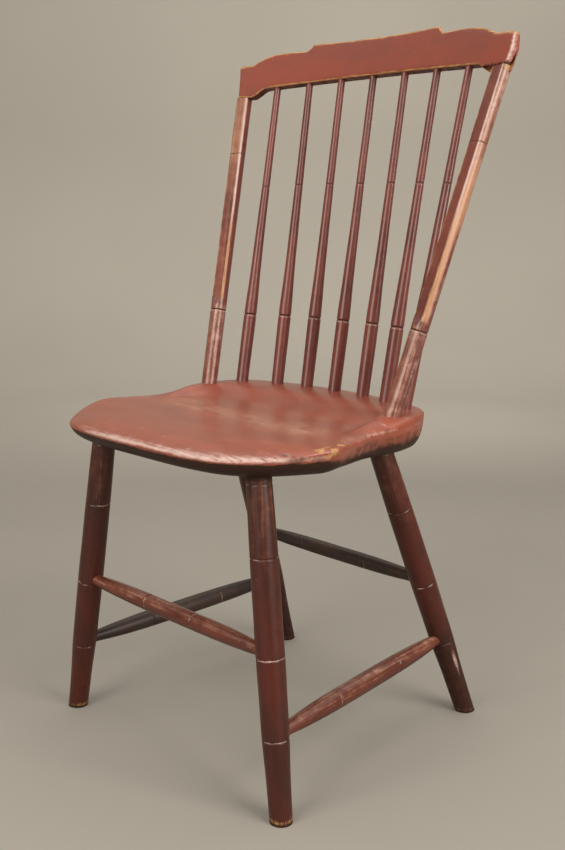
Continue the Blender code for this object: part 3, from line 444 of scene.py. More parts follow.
def bare_wood(colours):
    """The wood of the pins: unpainted end grain gone brown."""
    material, tree, shader = new_material("Bare wood", colours.bare_light)
    grain = node(tree, "ShaderNodeTexCoord").outputs["Object"]
    fibres = clouds(tree, stretched(tree, grain, (1.0, 0.3, 1.0)), 900.0, 4.0, 0.6)
    patches = clouds(tree, grain, 260.0, 4.0, 0.6)
    wood = blend(tree, spread(tree, fibres, 0.35, 0.65), colours.bare_dark, colours.bare_light)
    wood = blend(tree, spread(tree, patches, 0.5, 0.7, 0.0, 0.6), wood, colours.grime_and_shade)
    tree.links.new(wood, shader.inputs["Base Color"])
    tree.links.new(spread(tree, fibres, 0.3, 0.7, 0.75, 0.5), shader.inputs["Roughness"])
    bump = node(tree, "ShaderNodeBump", {"Strength": 0.5, "Distance": 0.0004, "Height": fibres})
    tree.links.new(bump.outputs[0], shader.inputs["Normal"])
    return material


def backdrop_paper(colours):
    """Matt seamless paper with the faintest mottling."""
    material, tree, shader = new_material("Backdrop", colours.backdrop)
    place = node(tree, "ShaderNodeTexCoord").outputs["Object"]
    mottle = clouds(tree, place, 1.3, 3.0, 0.5)
    darker = [value * 0.95 for value in colours.backdrop]
    tree.links.new(blend(tree, spread(tree, mottle, 0.3, 0.7), darker, colours.backdrop),
                   shader.inputs["Base Color"])
    shader.inputs["Roughness"].default_value = 0.95
    shader.inputs["Specular IOR Level"].default_value = 0.1
    return material


# ---------------------------------------------------------------- making pieces

def add_piece(name, bm, matrix, material, finish, nodes, offset, grain_axes=(0, 1, 2)):
    """Give a shape its grain and finish, set it in place and tie it to the frame."""
    bmesh.ops.remove_doubles(bm, verts=bm.verts, dist=WELD_DISTANCE)
    bmesh.ops.recalc_face_normals(bm, faces=bm.faces)
    grain = bm.verts.layers.float_vector.new("grain")
    marks = bm.verts.layers.float_color.new("finish")
    thin_and_sheen = bm.verts.layers.float.new("thin_and_sheen")
    for vert in bm.verts:
        local = vert.co.copy()
        vert[grain] = Vector(local[axis] for axis in grain_axes) + offset
        vert.co = matrix @ local + SET_BACK
        *amounts, thin_and_sheen_share = finish(local, vert.co)
        vert[marks] = (*[min(1.0, max(0.0, amount)) for amount in amounts], 1.0)
        vert[thin_and_sheen] = thin_and_sheen_share
    mesh = bpy.data.meshes.new(name)
    bm.to_mesh(mesh)
    bm.free()
    mesh.shade_smooth()
    mesh.set_sharp_from_angle(angle=radians(55.0))
    mesh.materials.append(material)
    piece = bpy.data.objects.new(name, mesh)
    bpy.context.scene.collection.objects.link(piece)
    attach(piece, "root")
    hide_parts(*nodes)


def stand(origin, axis):
    """The placing of a turned piece whose own Z runs from origin along axis."""
    return Matrix.Translation(origin) @ axis.to_track_quat("Z", "Y").to_matrix().to_4x4()


def cut_depth(s, rings, width):
    """How deep the scored rings cut at a position along a turned piece."""
    deepest = 0.0
    for at, depth in rings:
        share = abs(s - at) / (width / 2)
        if share < 1.0:
            deepest = max(deepest, depth * (1 - share) ** 0.8)
        elif share < 2.2:
            deepest = max(deepest, -depth * 0.10 * sin(pi * (share - 1.0) / 1.2))
    return deepest


def places_along(start, end, rings, width):
    """Positions along a turned piece, closer together at the scored rings."""
    count = max(2, round((end - start) / TURNED_STEP))
    places = [start + (end - start) * i / count for i in range(count + 1)]
    for at, _ in rings:
        places = [s for s in places if abs(s - at) > width * 1.1]
        places += [at + width * 1.1 * k / 9 for k in range(-9, 10)]
    return sorted(s for s in places if start <= s <= end)


def spun(start, end, radius, rings, width, sides, seed):
    """Spin a half outline with scored rings into a closed turned body, hardly out of true."""
    bm = bmesh.new()
    places = places_along(start, end, rings, width)
    outline = [(0.0, start)]
    outline += [(radius(s) - cut_depth(s, rings, width), s) for s in places]
    outline += [(0.0, end)]
    verts = [bm.verts.new((size, 0.0, s)) for size, s in outline]
    edges = [bm.edges.new(pair) for pair in zip(verts[:-1], verts[1:])]
    bmesh.ops.spin(bm, geom=verts + edges, cent=(0, 0, 0), axis=(0, 0, 1), dvec=(0, 0, 0),
                   angle=2 * pi, steps=sides, use_merge=True, use_duplicate=False)
    bmesh.ops.remove_doubles(bm, verts=bm.verts, dist=WELD_DISTANCE)
    for vert in bm.verts:
        out = Vector((vert.co.x, vert.co.y, 0.0))
        if out.length > 0.001:
            wobble = noise.noise(Vector((out.x * 60, out.y * 60, vert.co.z * 22)) + seed)
            vert.co += out.normalized() * wobble * TURNED_WOBBLE
    return bm


def scored_lines(s, rings, width):
    """A dark line in each scored ring with a pale lip toward the foot: the line is painted shade in
    the groove, the lip partly worn paint and partly a painted highlight.
    """
    rub_and_highlight = dirt_and_shade = 0.0
    for at, depth in rings:
        strength = 1.0 if depth > FAINT_RING_DEPTH else 0.6
        rub_and_highlight = max(rub_and_highlight, 0.40 * strength * bell(s - at + width * 0.85, width * 0.30))
        dirt_and_shade = max(dirt_and_shade, strength * bell(s - at, width * 0.26))
    return rub_and_highlight, dirt_and_shade


def broken_ring_lines(place, rings, width, seed):
    """A fine broken pale line in each scored ring with darker sides: the line partly worn paint and
    partly a painted highlight, the sides painted shade beside the groove.
    """
    s = place.z
    left = min(1.2, max(0.0, 0.62 + 1.8 * noise.noise(place * 95.0 + seed)))
    rub_and_highlight = dirt_and_shade = 0.0
    for at, depth in rings:
        strength = 1.0 if depth > FAINT_RING_DEPTH else 0.6
        rub_and_highlight = max(rub_and_highlight, 0.42 * left * strength * bell(s - at, width * 0.32))
        dirt_and_shade = max(dirt_and_shade, 0.30 * strength * bell(abs(s - at) - width * 0.8, width * 0.40))
    return rub_and_highlight, dirt_and_shade


def drawn_through(rings):
    """A closed body through rings of points, each ring grown from the one before."""
    count = len(rings[0])
    bm = bmesh.new()
    bmesh.ops.create_circle(bm, segments=count, radius=0.1, cap_ends=False)
    bm.verts.ensure_lookup_table()
    loop = list(bm.verts)
    for vert, place in zip(loop, rings[0]):
        vert.co = place
    bmesh.ops.contextual_create(bm, geom=bm.edges[:])
    for ring in rings[1:]:
        edges = [bm.edges.get((loop[i], loop[(i + 1) % count])) for i in range(count)]
        drawn = bmesh.ops.extrude_edge_only(bm, edges=edges)
        new_verts = {v for v in drawn["geom"] if isinstance(v, bmesh.types.BMVert)}
        loop = [next(e.other_vert(vert) for e in vert.link_edges
                     if e.other_vert(vert) in new_verts) for vert in loop]
        for vert, place in zip(loop, ring):
            vert.co = place
    edges = [bm.edges.get((loop[i], loop[(i + 1) % count])) for i in range(count)]
    bmesh.ops.contextual_create(bm, geom=edges)
    return bm


# ---------------------------------------------------------------- seat

def seat_rim(count):
    """Points round the seat's rim at equal steps: x, y, drop, undercut."""
    loop = list(SEAT_OUTLINE)
    loop += [(-x, y, drop, under) for x, y, drop, under in reversed(SEAT_OUTLINE[1:-1])]
    stops = len(loop)
    lengths = [0.0]
    for i in range(stops):
        a, b = loop[i], loop[(i + 1) % stops]
        lengths.append(lengths[-1] + sqrt((a[0] - b[0]) ** 2 + (a[1] - b[1]) ** 2))
    total = lengths[-1]
    tracks = []
    for part in range(4):
        tracks.append([(lengths[k % stops] + total * (k // stops), loop[k % stops][part])
                       for k in range(-3, stops + 4)])
    return [[smooth_curve(track, total * i / count) for track in tracks] for i in range(count)]


def spindle_row(x):
    """The row that the spindles and posts stand in: its y at a distance from the middle."""
    return smooth_curve(sorted([(0.0, 0.0), *SPINDLE_PAIRS, POST_BASE]), abs(x))


def seat_top(x, y, sizes):
    """Height of the seat's upper surface away from its rim."""
    bowl = ease((spindle_row(x) - y - HOLLOW_START) / HOLLOW_RAMP)
    middle = 2.0 ** -((x / HOLLOW_WIDTH) ** 2 + ((y - HOLLOW_CENTRE_Y) / HOLLOW_LENGTH) ** 2)
    return sizes.deck_height - bowl * (sizes.hollow_depth + sizes.hollow_extra * middle)


def seat_body(sizes):
    """The plank: rings drawn up from the underside, over the arris and in to the middle."""
    count = 360
    rim = seat_rim(count)
    centre = Vector((0.0, (rim[0][1] + rim[count // 2][1]) / 2))
    inward = []
    for i in range(count):
        a, b = rim[i - 1], rim[(i + 1) % count]
        turn = Vector((b[1] - a[1], a[0] - b[0])).normalized()
        if turn.dot(centre - Vector(rim[i][:2])) < 0:
            turn.negate()
        inward.append(turn)
    inward = [sum((inward[(i + k) % count] for k in range(-9, 10)), Vector((0.0, 0.0)))
              .normalized() for i in range(count)]
    unders = [sum(rim[(i + k) % count][3] for k in range(-12, 13)) / 25 for i in range(count)]
    rim = [(x, y, drop, under) for (x, y, drop, _), under in zip(rim, unders)]
    arris = sizes.seat_arris

    def edge_ring(quarter):
        ring = []
        for (x, y, drop, under), turn in zip(rim, inward):
            inset = under * (1 - cos(quarter))
            fall = max((sizes.seat_thickness - drop) * sin(quarter), arris)
            ring.append((x + turn.x * inset, y + turn.y * inset,
                         sizes.deck_height - drop - fall))
        return ring

    def top_ring(place):
        ring = []
        for x, y, drop, under in rim:
            reach = (Vector((x, y)) - centre).length
            if place <= 1.0:
                share = 1 - place * SEAT_BAND / reach
            else:
                share = (1 - SEAT_BAND / reach) * (2.0 - place)
            px, py = centre.x + (x - centre.x) * share, centre.y + (y - centre.y) * share
            roll = min(1.0, max(0.0, (drop - DROP_BACK) / (DROP_FRONT - DROP_BACK)))
            height = seat_top(px, py, sizes)
            height += (sizes.deck_height - drop - seat_top(x, y, sizes)) * share ** (26 - 18 * roll)
            inset = (1 - share) * reach
            if inset < arris:
                height += sqrt(arris ** 2 - (arris - inset) ** 2) - arris
            ring.append((px, py, height))
        return ring

    rings = [edge_ring(radians(90 - 6.5 * k)) for k in range(13)]
    rings += [top_ring(arris * (1 - cos(radians(a))) / SEAT_BAND)
              for a in (6, 22, 38, 54, 72, 90)]
    rings += [top_ring(inset / SEAT_BAND)
              for inset in (0.0040, 0.0060, 0.0085, 0.0115, 0.015, 0.019, 0.0235, 0.0285,
                            0.034, 0.0395, SEAT_BAND)]
    rings += [top_ring(1.0 + k / 24) for k in range(1, 24)]

    bm = drawn_through(rings)
    last = [f for f in bm.faces if len(f.verts) == count and f.calc_center_median().z > 0.4]
    bmesh.ops.poke(bm, faces=last)
    return bm


def seat_finish(sizes):
    """Where the seat is worn and soiled, and where it carries painted highlights, painted shade and
    a painted reflection.
    """
    marks = [(Vector(place), reach, amounts) for place, reach, *amounts in SEAT_MARKS]
    underside = sizes.deck_height - sizes.seat_thickness
    front_arris = sizes.deck_height - DROP_FRONT

    def finish(local, world):
        x, y, z = local
        rise = (z - underside) / sizes.seat_thickness
        top = seat_top(x, y, sizes)
        near_front = ease((-y - 0.150) / 0.12)
        beside = ease((abs(x) - 0.172) / 0.012) * (1 - near_front)
        # The front roll: a pale band along the arris, partly worn paint and partly a painted
        # highlight, over a side darkened as painted shade.  Low down all round, and below the arris
        # on the other sides, the seat is darkened as painted shade.
        wear = 0.0
        rub_and_highlight = 0.44 * near_front * bell(z - front_arris - 0.0005, 0.0038) * ease((x + 0.15) / 0.10)
        dirt_and_shade = 0.95 * near_front * ease((front_arris - 0.0025 - z) / 0.004)
        dirt_and_shade = max(dirt_and_shade, 0.85 * (1 - ease(rise / 0.72)),
                   0.40 * (1 - near_front) * ease((sizes.deck_height - 0.0150 - z) / 0.005))
        low = bell(z - sizes.deck_height + 0.0125, 0.0030)
        wear, rub_and_highlight = max(wear, 0.20 * beside * low), max(rub_and_highlight, 0.30 * beside * low)
        for place, reach, amounts in marks:
            gap = (local - place).length
            if gap < reach * 2.2:
                share = bell(gap, reach)
                wear = max(wear, amounts[0] * share)
                rub_and_highlight = max(rub_and_highlight, amounts[1] * share)
                dirt_and_shade = max(dirt_and_shade, amounts[2] * share)
        # A pale band across the hollow is a painted reflection of the backdrop's sheen, and the top
        # is made a little paler towards the sitter's left.
        scuff_and_sheen = bell(y + 0.165 + 0.10 * x, 0.045) * ease((0.19 - abs(x)) / 0.05)
        on_top = top - 0.0006 < z
        thin_and_sheen = max(0.36 * scuff_and_sheen, 0.14 * ease((x - 0.02) / 0.10)) * on_top
        return wear, max(rub_and_highlight, 0.20 * scuff_and_sheen * on_top), dirt_and_shade, thin_and_sheen

    return finish


class CHAIR_OT_seat(Operator):
    """Carve the plank seat with its raised deck and shallow hollow"""
    bl_idname = "chair.seat"
    bl_label = "Seat"

    def execute(self, context):
        sizes, colours = context.scene.chair_sizes, context.scene.chair_colours
        paint = worn_paint("Seat paint", colours)
        add_piece("plank_seat", seat_body(sizes), Matrix(), paint, seat_finish(sizes),
                  ["seat"], Vector((3.0, 1.0, 2.0)), (1, 2, 0))
        return {"FINISHED"}


# ---------------------------------------------------------------- legs and stretchers

def leg_point(spot, drop, sizes):
    """The point on a leg's axis at a distance below the seat, and the leg's direction."""
    socket, foot = spot
    top = Vector((socket[0], socket[1], sizes.deck_height - sizes.seat_thickness))
    direction = (Vector((foot[0], foot[1], 0.0)) - top).normalized()
    return top + direction * drop, direction


def mirrored(spot, side):
    """A leg's two places on the given side of the chair."""
    return [(side * x, y) for x, y in spot]


def leg_radius(s, sizes):
    """Radius of every leg at a distance below the seat."""
    upper, middle, lower = LEG_NODES
    stations = [(0.0, sizes.leg_top), (upper, sizes.leg_upper - 0.0004),
                ((upper + middle) / 2, sizes.leg_upper), (middle, sizes.leg_middle),
                ((middle + lower) / 2, sizes.leg_lower + 0.0008), (lower, sizes.leg_lower),
                (lower + 0.045, sizes.leg_lower * 0.4 + sizes.leg_foot * 0.6),
                (lower + 0.115, sizes.leg_foot)]
    return smooth_curve(stations, s) / 2


class CHAIR_OT_legs(Operator):
    """Turn the four splayed legs with their scored rings"""
    bl_idname = "chair.legs"
    bl_label = "Legs"

    def execute(self, context):
        sizes, colours = context.scene.chair_sizes, context.scene.chair_colours
        paint = worn_paint("Leg paint", colours)
        rings = [(LEG_COLLAR, FAINT_RING_DEPTH)] + [(at, sizes.ring_depth) for at in LEG_NODES]
        for row, spot in (("front", FRONT_LEG), ("rear", REAR_LEG)):
            for side, label in ((1, "left"), (-1, "right")):
                top, axis = leg_point(mirrored(spot, side), 0.0, sizes)
                run = top.z / -axis.z
                seed = Vector((side * 3.0, top.y * 40, 5.0))
                bm = spun(-0.005, run + 0.012, lambda s: leg_radius(s, sizes), rings,
                          sizes.ring_width, 48, seed)
                place = stand(top, axis)
                floor = place.inverted() @ Vector((spot[1][0] * side, spot[1][1], 0.0))
                down = place.inverted().to_3x3() @ Vector((0.0, 0.0, -1.0))
                bmesh.ops.bisect_plane(bm, geom=bm.verts[:] + bm.edges[:] + bm.faces[:],
                                       dist=CUT_TOLERANCE, plane_co=floor, plane_no=down,
                                       clear_outer=True)
                rim = [e for e in bm.edges if e.is_boundary]
                foot = bmesh.ops.contextual_create(bm, geom=rim)["faces"]
                edge = [e for face in foot for e in face.edges]
                bmesh.ops.bevel(bm, geom=edge, offset=0.0013, offset_type="OFFSET",
                                segments=3, profile=0.5, affect="EDGES", material=-1,
                                clamp_overlap=True)

                outward = place.inverted().to_3x3() @ Vector((side * 0.99, -0.12, 0.0))

                def finish(local, world):
                    rub_and_highlight, dirt_and_shade = broken_ring_lines(local, rings, sizes.ring_width, seed)
                    wear = 0.56 * bell(world.z - 0.004, 0.007)
                    # Darker towards the floor, the rear legs more, and a little tanner towards the
                    # seat.
                    low = 1 - ease((world.z - 0.10) / 0.12)
                    dirt_and_shade = max(dirt_and_shade, 0.75 * bell(world.z, 0.005), 0.65 * bell(local.z, 0.008),
                               low * (0.50 if row == "rear" else 0.32))
                    facing = outward.x * local.x + outward.y * local.y
                    scuff_and_sheen = ease((facing / leg_radius(local.z, sizes) - 0.980) / 0.015)
                    scuff_and_sheen *= bell(world.z - 0.078, 0.024)
                    if row == "rear":
                        wear, rub_and_highlight = max(wear, 0.34 * scuff_and_sheen), max(rub_and_highlight, 0.46 * scuff_and_sheen)
                        dirt_and_shade *= 1 - 0.8 * scuff_and_sheen
                    return wear, rub_and_highlight, dirt_and_shade, 0.16 * ease((world.z - 0.22) / 0.12)

                name = f"leg_{row}_{label}"
                add_piece(f"turned_{name}", bm, place, paint, finish, [name],
                          seed)
        return {"FINISHED"}


class CHAIR_OT_stretchers(Operator):
    """Turn the front, rear and side stretchers"""
    bl_idname = "chair.stretchers"
    bl_label = "Stretchers"

    def execute(self, context):
        sizes, colours = context.scene.chair_sizes, context.scene.chair_colours
        crossings = (("front", FRONT_LEG, -1, FRONT_LEG, 1, CROSS_STRETCHER_DROP,
                      sizes.front_stretcher, FRONT_STRETCHER_RINGS),
                     ("rear", REAR_LEG, -1, REAR_LEG, 1, CROSS_STRETCHER_DROP,
                      sizes.rear_stretcher, LONG_STRETCHER_RINGS),
                     ("left", FRONT_LEG, 1, REAR_LEG, 1, SIDE_STRETCHER_DROP,
                      sizes.side_stretcher, LONG_STRETCHER_RINGS),
                     ("right", FRONT_LEG, -1, REAR_LEG, -1, SIDE_STRETCHER_DROP,
                      sizes.side_stretcher, LONG_STRETCHER_RINGS))
        for label, first, first_side, second, second_side, drop, diameter, half_rings in crossings:
            start = leg_point(mirrored(first, first_side), drop, sizes)[0]
            end = leg_point(mirrored(second, second_side), drop, sizes)[0]
            run = end - start
            near = leg_radius(drop, sizes) + STRETCHER_PARALLEL
            far = run.length - near
            middle = (near + far) / 2
            rings = [(middle + way * half_rings, sizes.ring_depth) for way in (-1, 1)]

            def radius(s):
                share = min(1.0, abs(s - middle) / (far - middle))
                return (diameter - (diameter - sizes.stretcher_end) * share ** 3.4) / 2

            seed = Vector((drop * 30, start.x * 20, 9.0))
            behind = label in ("rear", "right")
            place = stand(start, run.normalized())
            above = place.inverted().to_3x3() @ Vector((0.0, 0.0, 1.0))

            def finish(local, world):
                rub_and_highlight, dirt_and_shade = broken_ring_lines(local, rings, sizes.ring_width, seed)
                facing = (above.x * local.x + above.y * local.y) / radius(local.z)
                # The underside is darkened as painted shade; on the stretchers in front the top is
                # paler, partly wear and partly painted light.
                upper = ease((facing + 0.25) / 0.9)
                dirt_and_shade = max(dirt_and_shade, 0.35 * (1 - upper))
                if behind:
                    return 0.0, rub_and_highlight, dirt_and_shade, 0.0
                return 0.16 * upper, max(rub_and_highlight, 0.17 * upper), dirt_and_shade, 0.26 * upper

            inside = leg_radius(drop, sizes) - 0.006
            bm = spun(inside, run.length - inside, radius, rings, sizes.ring_width, 36, seed)
            name = f"stretcher_{label}"
            paint = worn_paint("Shaded stretcher paint" if behind else "Lit stretcher paint", colours)
            add_piece(f"turned_{name}", bm, place, paint, finish, [name], seed)
        return {"FINISHED"}


# ---------------------------------------------------------------- back

def board_point(x, offset, height):
    """A point of the crest's board: along it, behind its middle surface and up it."""
    bend = x / CREST_RADIUS
    radius = CREST_RADIUS + offset
    return Vector((radius * sin(bend), radius * cos(bend) - CREST_RADIUS, height))


def board_to_chair(point, sizes):
    """Carry a point of the crest's board into the chair's frame."""
    origin_y = CREST_POST_Y + CREST_BOW * cos(CREST_LEAN)
    origin_z = sizes.deck_height + CREST_RISE - CREST_BOW * sin(CREST_LEAN)
    return Vector((point.x, origin_y + point.y * cos(CREST_LEAN) + point.z * sin(CREST_LEAN),
                   origin_z + point.z * cos(CREST_LEAN) - point.y * sin(CREST_LEAN)))


def crest_end(x):
    """The measures of the end of the crest that x is on."""
    return LEFT_END if x > 0 else RIGHT_END


def crest_top(x, sizes):
    """Height of the crest's top edge at a distance from its middle."""
    tablet, step, end, _, ear_top = crest_end(x)[:5]
    fullness = 3.1 if x > 0 else 4.0
    x, foot = abs(x), tablet + CREST_COVE
    if x <= tablet:
        return sizes.tablet_top
    if x <= foot:
        share = ((x - tablet) / CREST_COVE) ** 0.6
        return sizes.tablet_top - (sizes.tablet_top - CREST_SHOULDER_TOP) * share
    if x <= step:
        share = ((x - foot) / (step - foot)) ** fullness
        return CREST_SHOULDER_TOP - (CREST_SHOULDER_TOP - CREST_STEP_TOP) * share
    return CREST_STEP_TOP - (CREST_STEP_TOP - ear_top) * min(1.0, (x - step) / (end - step)) ** 1.6


def crest_bottom(x):
    """Height of the crest's bottom edge at a distance from its middle."""
    foot = crest_end(x)[3]
    x, start = abs(x), foot - CREST_ARCH_CURVE
    if x >= foot:
        return 0.0
    if x >= start:
        return CREST_ARCH_SIDE * ease((foot - x) / CREST_ARCH_CURVE)
    return CREST_ARCH_MIDDLE - (CREST_ARCH_MIDDLE - CREST_ARCH_SIDE) * (x / start) ** 2


def break_line(x):
    """How high the front is broken away over the sitter's left post, at a distance along."""
    share = min(1.0, max(0.0, (x - BREAK_START) / (LEFT_END[3] - BREAK_START)))
    ragged = BREAK_ROUGHNESS * noise.noise(Vector((x * 420.0, 5.0, 2.0)))
    return CREST_ARCH_SIDE + (BREAK_HEIGHT - CREST_ARCH_SIDE) * share + ragged * share


def split_path(x, low, line, share, sizes):
    """A point along the corner that is split out beside the post: up its back, down its front."""
    half = sizes.crest_thickness / 2
    back = half - SPLIT_BACK_WALL
    slope = (back - 0.001 - SPLIT_FRONT_WALL + half) / SPLIT_HEIGHT
    stops = [(back, low), (back, SPLIT_HEIGHT / 2), (back - 0.001, SPLIT_HEIGHT),
             (back - 0.001 - slope * (SPLIT_HEIGHT - line), line)]
    part = min(2, int(share * 3))
    (offset, height), (next_offset, next_height) = stops[part], stops[part + 1]
    share = share * 3 - part
    place = Vector((x * 500.0, height * 300.0 + share * 7.0, 4.0))
    rough = SPLIT_ROUGHNESS * min(1.0, 6 * share) * min(1.0, 6 * (1 - share))
    return (offset + (next_offset - offset) * share + rough * noise.noise(place),
            height + (next_height - height) * share + rough * noise.noise(place * -1.0))


def crest_section(x, inset, sizes):
    """One section of the crest, round its arrises: offset and height points."""
    half = sizes.crest_thickness / 2 - inset
    low, high = crest_bottom(x) + inset, crest_top(x, sizes) - inset
    turn = max(sizes.crest_arris - inset, 0.0002)
    line, gone = max(break_line(x), low + 1.6 * turn), 0.0
    if x > 0 and line > low + 2 * turn:
        gone = BREAK_DEPTH + BREAK_ROUGHNESS / 2 * noise.noise(Vector((x * 420.0, 1.0, 7.0)))
    corners = ((-half + turn + gone, low + turn, 270), (-half + turn, high - turn, 180),
               (half - turn, high - turn, 90), (half - turn, low + turn, 0))
    ring = []
    for index, (offset, height, first) in enumerate(corners):
        for k in range(5):
            angle = radians(first - 22.5 * k)
            ring.append((offset + turn * cos(angle), height + turn * sin(angle)))
        if index == 0 and x > TWO_PART_START:
            foot = line - low - turn - (0.0 if gone else 0.0004)
            ring += [(-half + gone, low + turn + foot * k / 6) for k in range(1, 7)]
            ring += [(-half, line + (high - turn - line) * k / 7) for k in range(7)]
            continue
        after = corners[(index + 1) % 4]
        angle = radians(first - 90)
        start = ring[-1]
        end = (after[0] + turn * cos(angle), after[1] + turn * sin(angle))
        steps = (14, 3, 14, SPLIT_POINTS[0] + 1)[index]
        for k in range(1, steps):
            share = k / steps
            ring.append((start[0] + (end[0] - start[0]) * share,
                         start[1] + (end[1] - start[1]) * share))
    if x > LEFT_END[2] - SPLIT_DEPTH:
        before, after = SPLIT_POINTS
        for k in range(before + after):
            ring[k - before] = split_path(x, low, line, k / (before + after - 1), sizes)
    return ring


def planed_off(height, sizes):
    """How much the board's back is planed away at a height."""
    share = (height - CREST_TAPER_FOOT) / (sizes.tablet_top - CREST_TAPER_FOOT)
    return (sizes.crest_thickness - sizes.crest_top) * max(0.0, share)


def crest_shape(x, offset, height, sizes):
    """Lean the ends of the straight board outward and plane its back thinner to the top."""
    *_, end, _, ear_top, half_way, at_top = crest_end(x)
    share = ease((abs(x) - end + CREST_END_LEAN) / CREST_END_LEAN)
    if height < CREST_TAPER_FOOT:
        lean = half_way * height / CREST_TAPER_FOOT
    else:
        lean = half_way + (at_top - half_way) * min(1.0, (height - CREST_TAPER_FOOT)
                                                    / (ear_top - CREST_TAPER_FOOT))
    full = sizes.crest_thickness
    offset = (offset + full / 2) * (1 - planed_off(height, sizes) / full) - full / 2
    return x + lean * share * (1 if x > 0 else -1), offset, height


def crest_body(sizes):
    """The crest's board, drawn section by section from one end to the other."""
    arris = sizes.crest_arris
    whole = []
    for side in (-1, 1):
        tablet, _, end = crest_end(side)[:3]
        places = [(end - arris) * i / 150 for i in range(1, 151)]
        places = [x for x in places if not tablet - 0.0004 < x < tablet + CREST_COVE + 0.0004]
        places += [tablet + CREST_COVE * (k / 9) ** 1.6 for k in range(10)]
        if side > 0:
            split = end - SPLIT_DEPTH
            places = [x for x in places if abs(x - split) > 0.0006]
            places += [split - 0.0002, split + 0.0002]
        whole += [(side * x, 0.0) for x in places]
        whole += [(side * (end - arris * back), arris * inset)
                  for back, inset in ((0.62, 0.07), (0.30, 0.29), (0.08, 0.62), (0.0, 0.95))]
    whole = sorted(whole + [(0.0, 0.0)])

    sections = [[crest_shape(x, offset, height, sizes)
                 for offset, height in crest_section(x, inset, sizes)] for x, inset in whole]
    bm = drawn_through(sections)
    ends = [face for face in bm.faces if len(face.verts) == len(sections[0])]
    bmesh.ops.triangulate(bm, faces=ends)
    return bm


class CHAIR_OT_crest(Operator):
    """Bend and carve the stepped crest rail"""
    bl_idname = "chair.crest"
    bl_label = "Crest"

    def execute(self, context):
        sizes, colours = context.scene.chair_sizes, context.scene.chair_colours
        paint = worn_paint("Crest paint", colours)
        bm = crest_body(sizes)
        half = sizes.crest_thickness / 2
        grain = bm.verts.layers.float_vector.new("grain")
        marks = bm.verts.layers.float_color.new("finish")
        bm.verts.layers.float.new("thin_and_sheen")
        for vert in bm.verts:
            x, offset, height = vert.co
            top, low = crest_top(x, sizes), crest_bottom(x)
            end = crest_shape(crest_end(x)[2] * (1 if x > 0 else -1), 0.0, height, sizes)[0]
            near_top, near_low, near_end = abs(top - height), abs(height - low), abs(end - x)
            in_front = 1 - ease((offset + half - 0.0012) / 0.0016)
            wear = max(0.90 * bell(near_top, 0.0028), 0.80 * in_front * bell(near_low, 0.0026))
            # The pale strip along each end is a painted highlight, brightest on the split end's
            # front.
            rub_and_highlight = bell(near_end, 0.0016) * (0.46 if x > 0 > offset + 0.001 else 0.18)
            dirt_and_shade = 0.48 * (1 - in_front) * bell(near_low, 0.0020)
            back = half - planed_off(height, sizes)
            inside = min(back - offset, half + offset, near_top, near_low, near_end)
            broken = x > BREAK_START + 0.002
            # A dark line along the break is painted shade in the crack.
            if broken and height < BREAK_HEIGHT + 0.008:
                crack = bell(height - BREAK_HEIGHT - 0.0008, 0.0011)
                wear, dirt_and_shade = max(wear, 0.30 * crack), max(dirt_and_shade, 0.75 * crack)
            # Inside the break the wood is bare, darkened towards the top of the hollow as painted
            # shade.
            if broken and inside > 0.0004:
                deep = ease((height - 0.006) / 0.012)
                wear, dirt_and_shade = 0.66 - 0.20 * deep, 0.20 + 0.34 * deep
            vert[grain] = (offset + 4.0, height + 2.0, x)
            vert[marks] = (min(1.0, wear), rub_and_highlight, dirt_and_shade, 1.0)
            vert.co = board_to_chair(board_point(x, offset, height), sizes) + SET_BACK
        bmesh.ops.recalc_face_normals(bm, faces=bm.faces)
        mesh = bpy.data.meshes.new("carved_crest")
        bm.to_mesh(mesh)
        bm.free()
        mesh.shade_smooth()
        mesh.set_sharp_from_angle(angle=radians(50.0))
        mesh.materials.append(paint)
        piece = bpy.data.objects.new("carved_crest", mesh)
        context.scene.collection.objects.link(piece)
        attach(piece, "root")
        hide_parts("crest_rail")
        return {"FINISHED"}


def post_frame(side, sizes):
    """A post's foot on the deck, its joint with the crest and the crest's backward side."""
    base = Vector((side * POST_BASE[0], POST_BASE[1], sizes.deck_height))
    joint = board_to_chair(board_point(side * CREST_POST_SPAN, POST_SET_BACK, 0.0), sizes)
    bend = side * CREST_POST_SPAN / CREST_RADIUS
    back = Vector((sin(bend), cos(bend) * cos(CREST_LEAN), -cos(bend) * sin(CREST_LEAN)))
    return base, joint, back


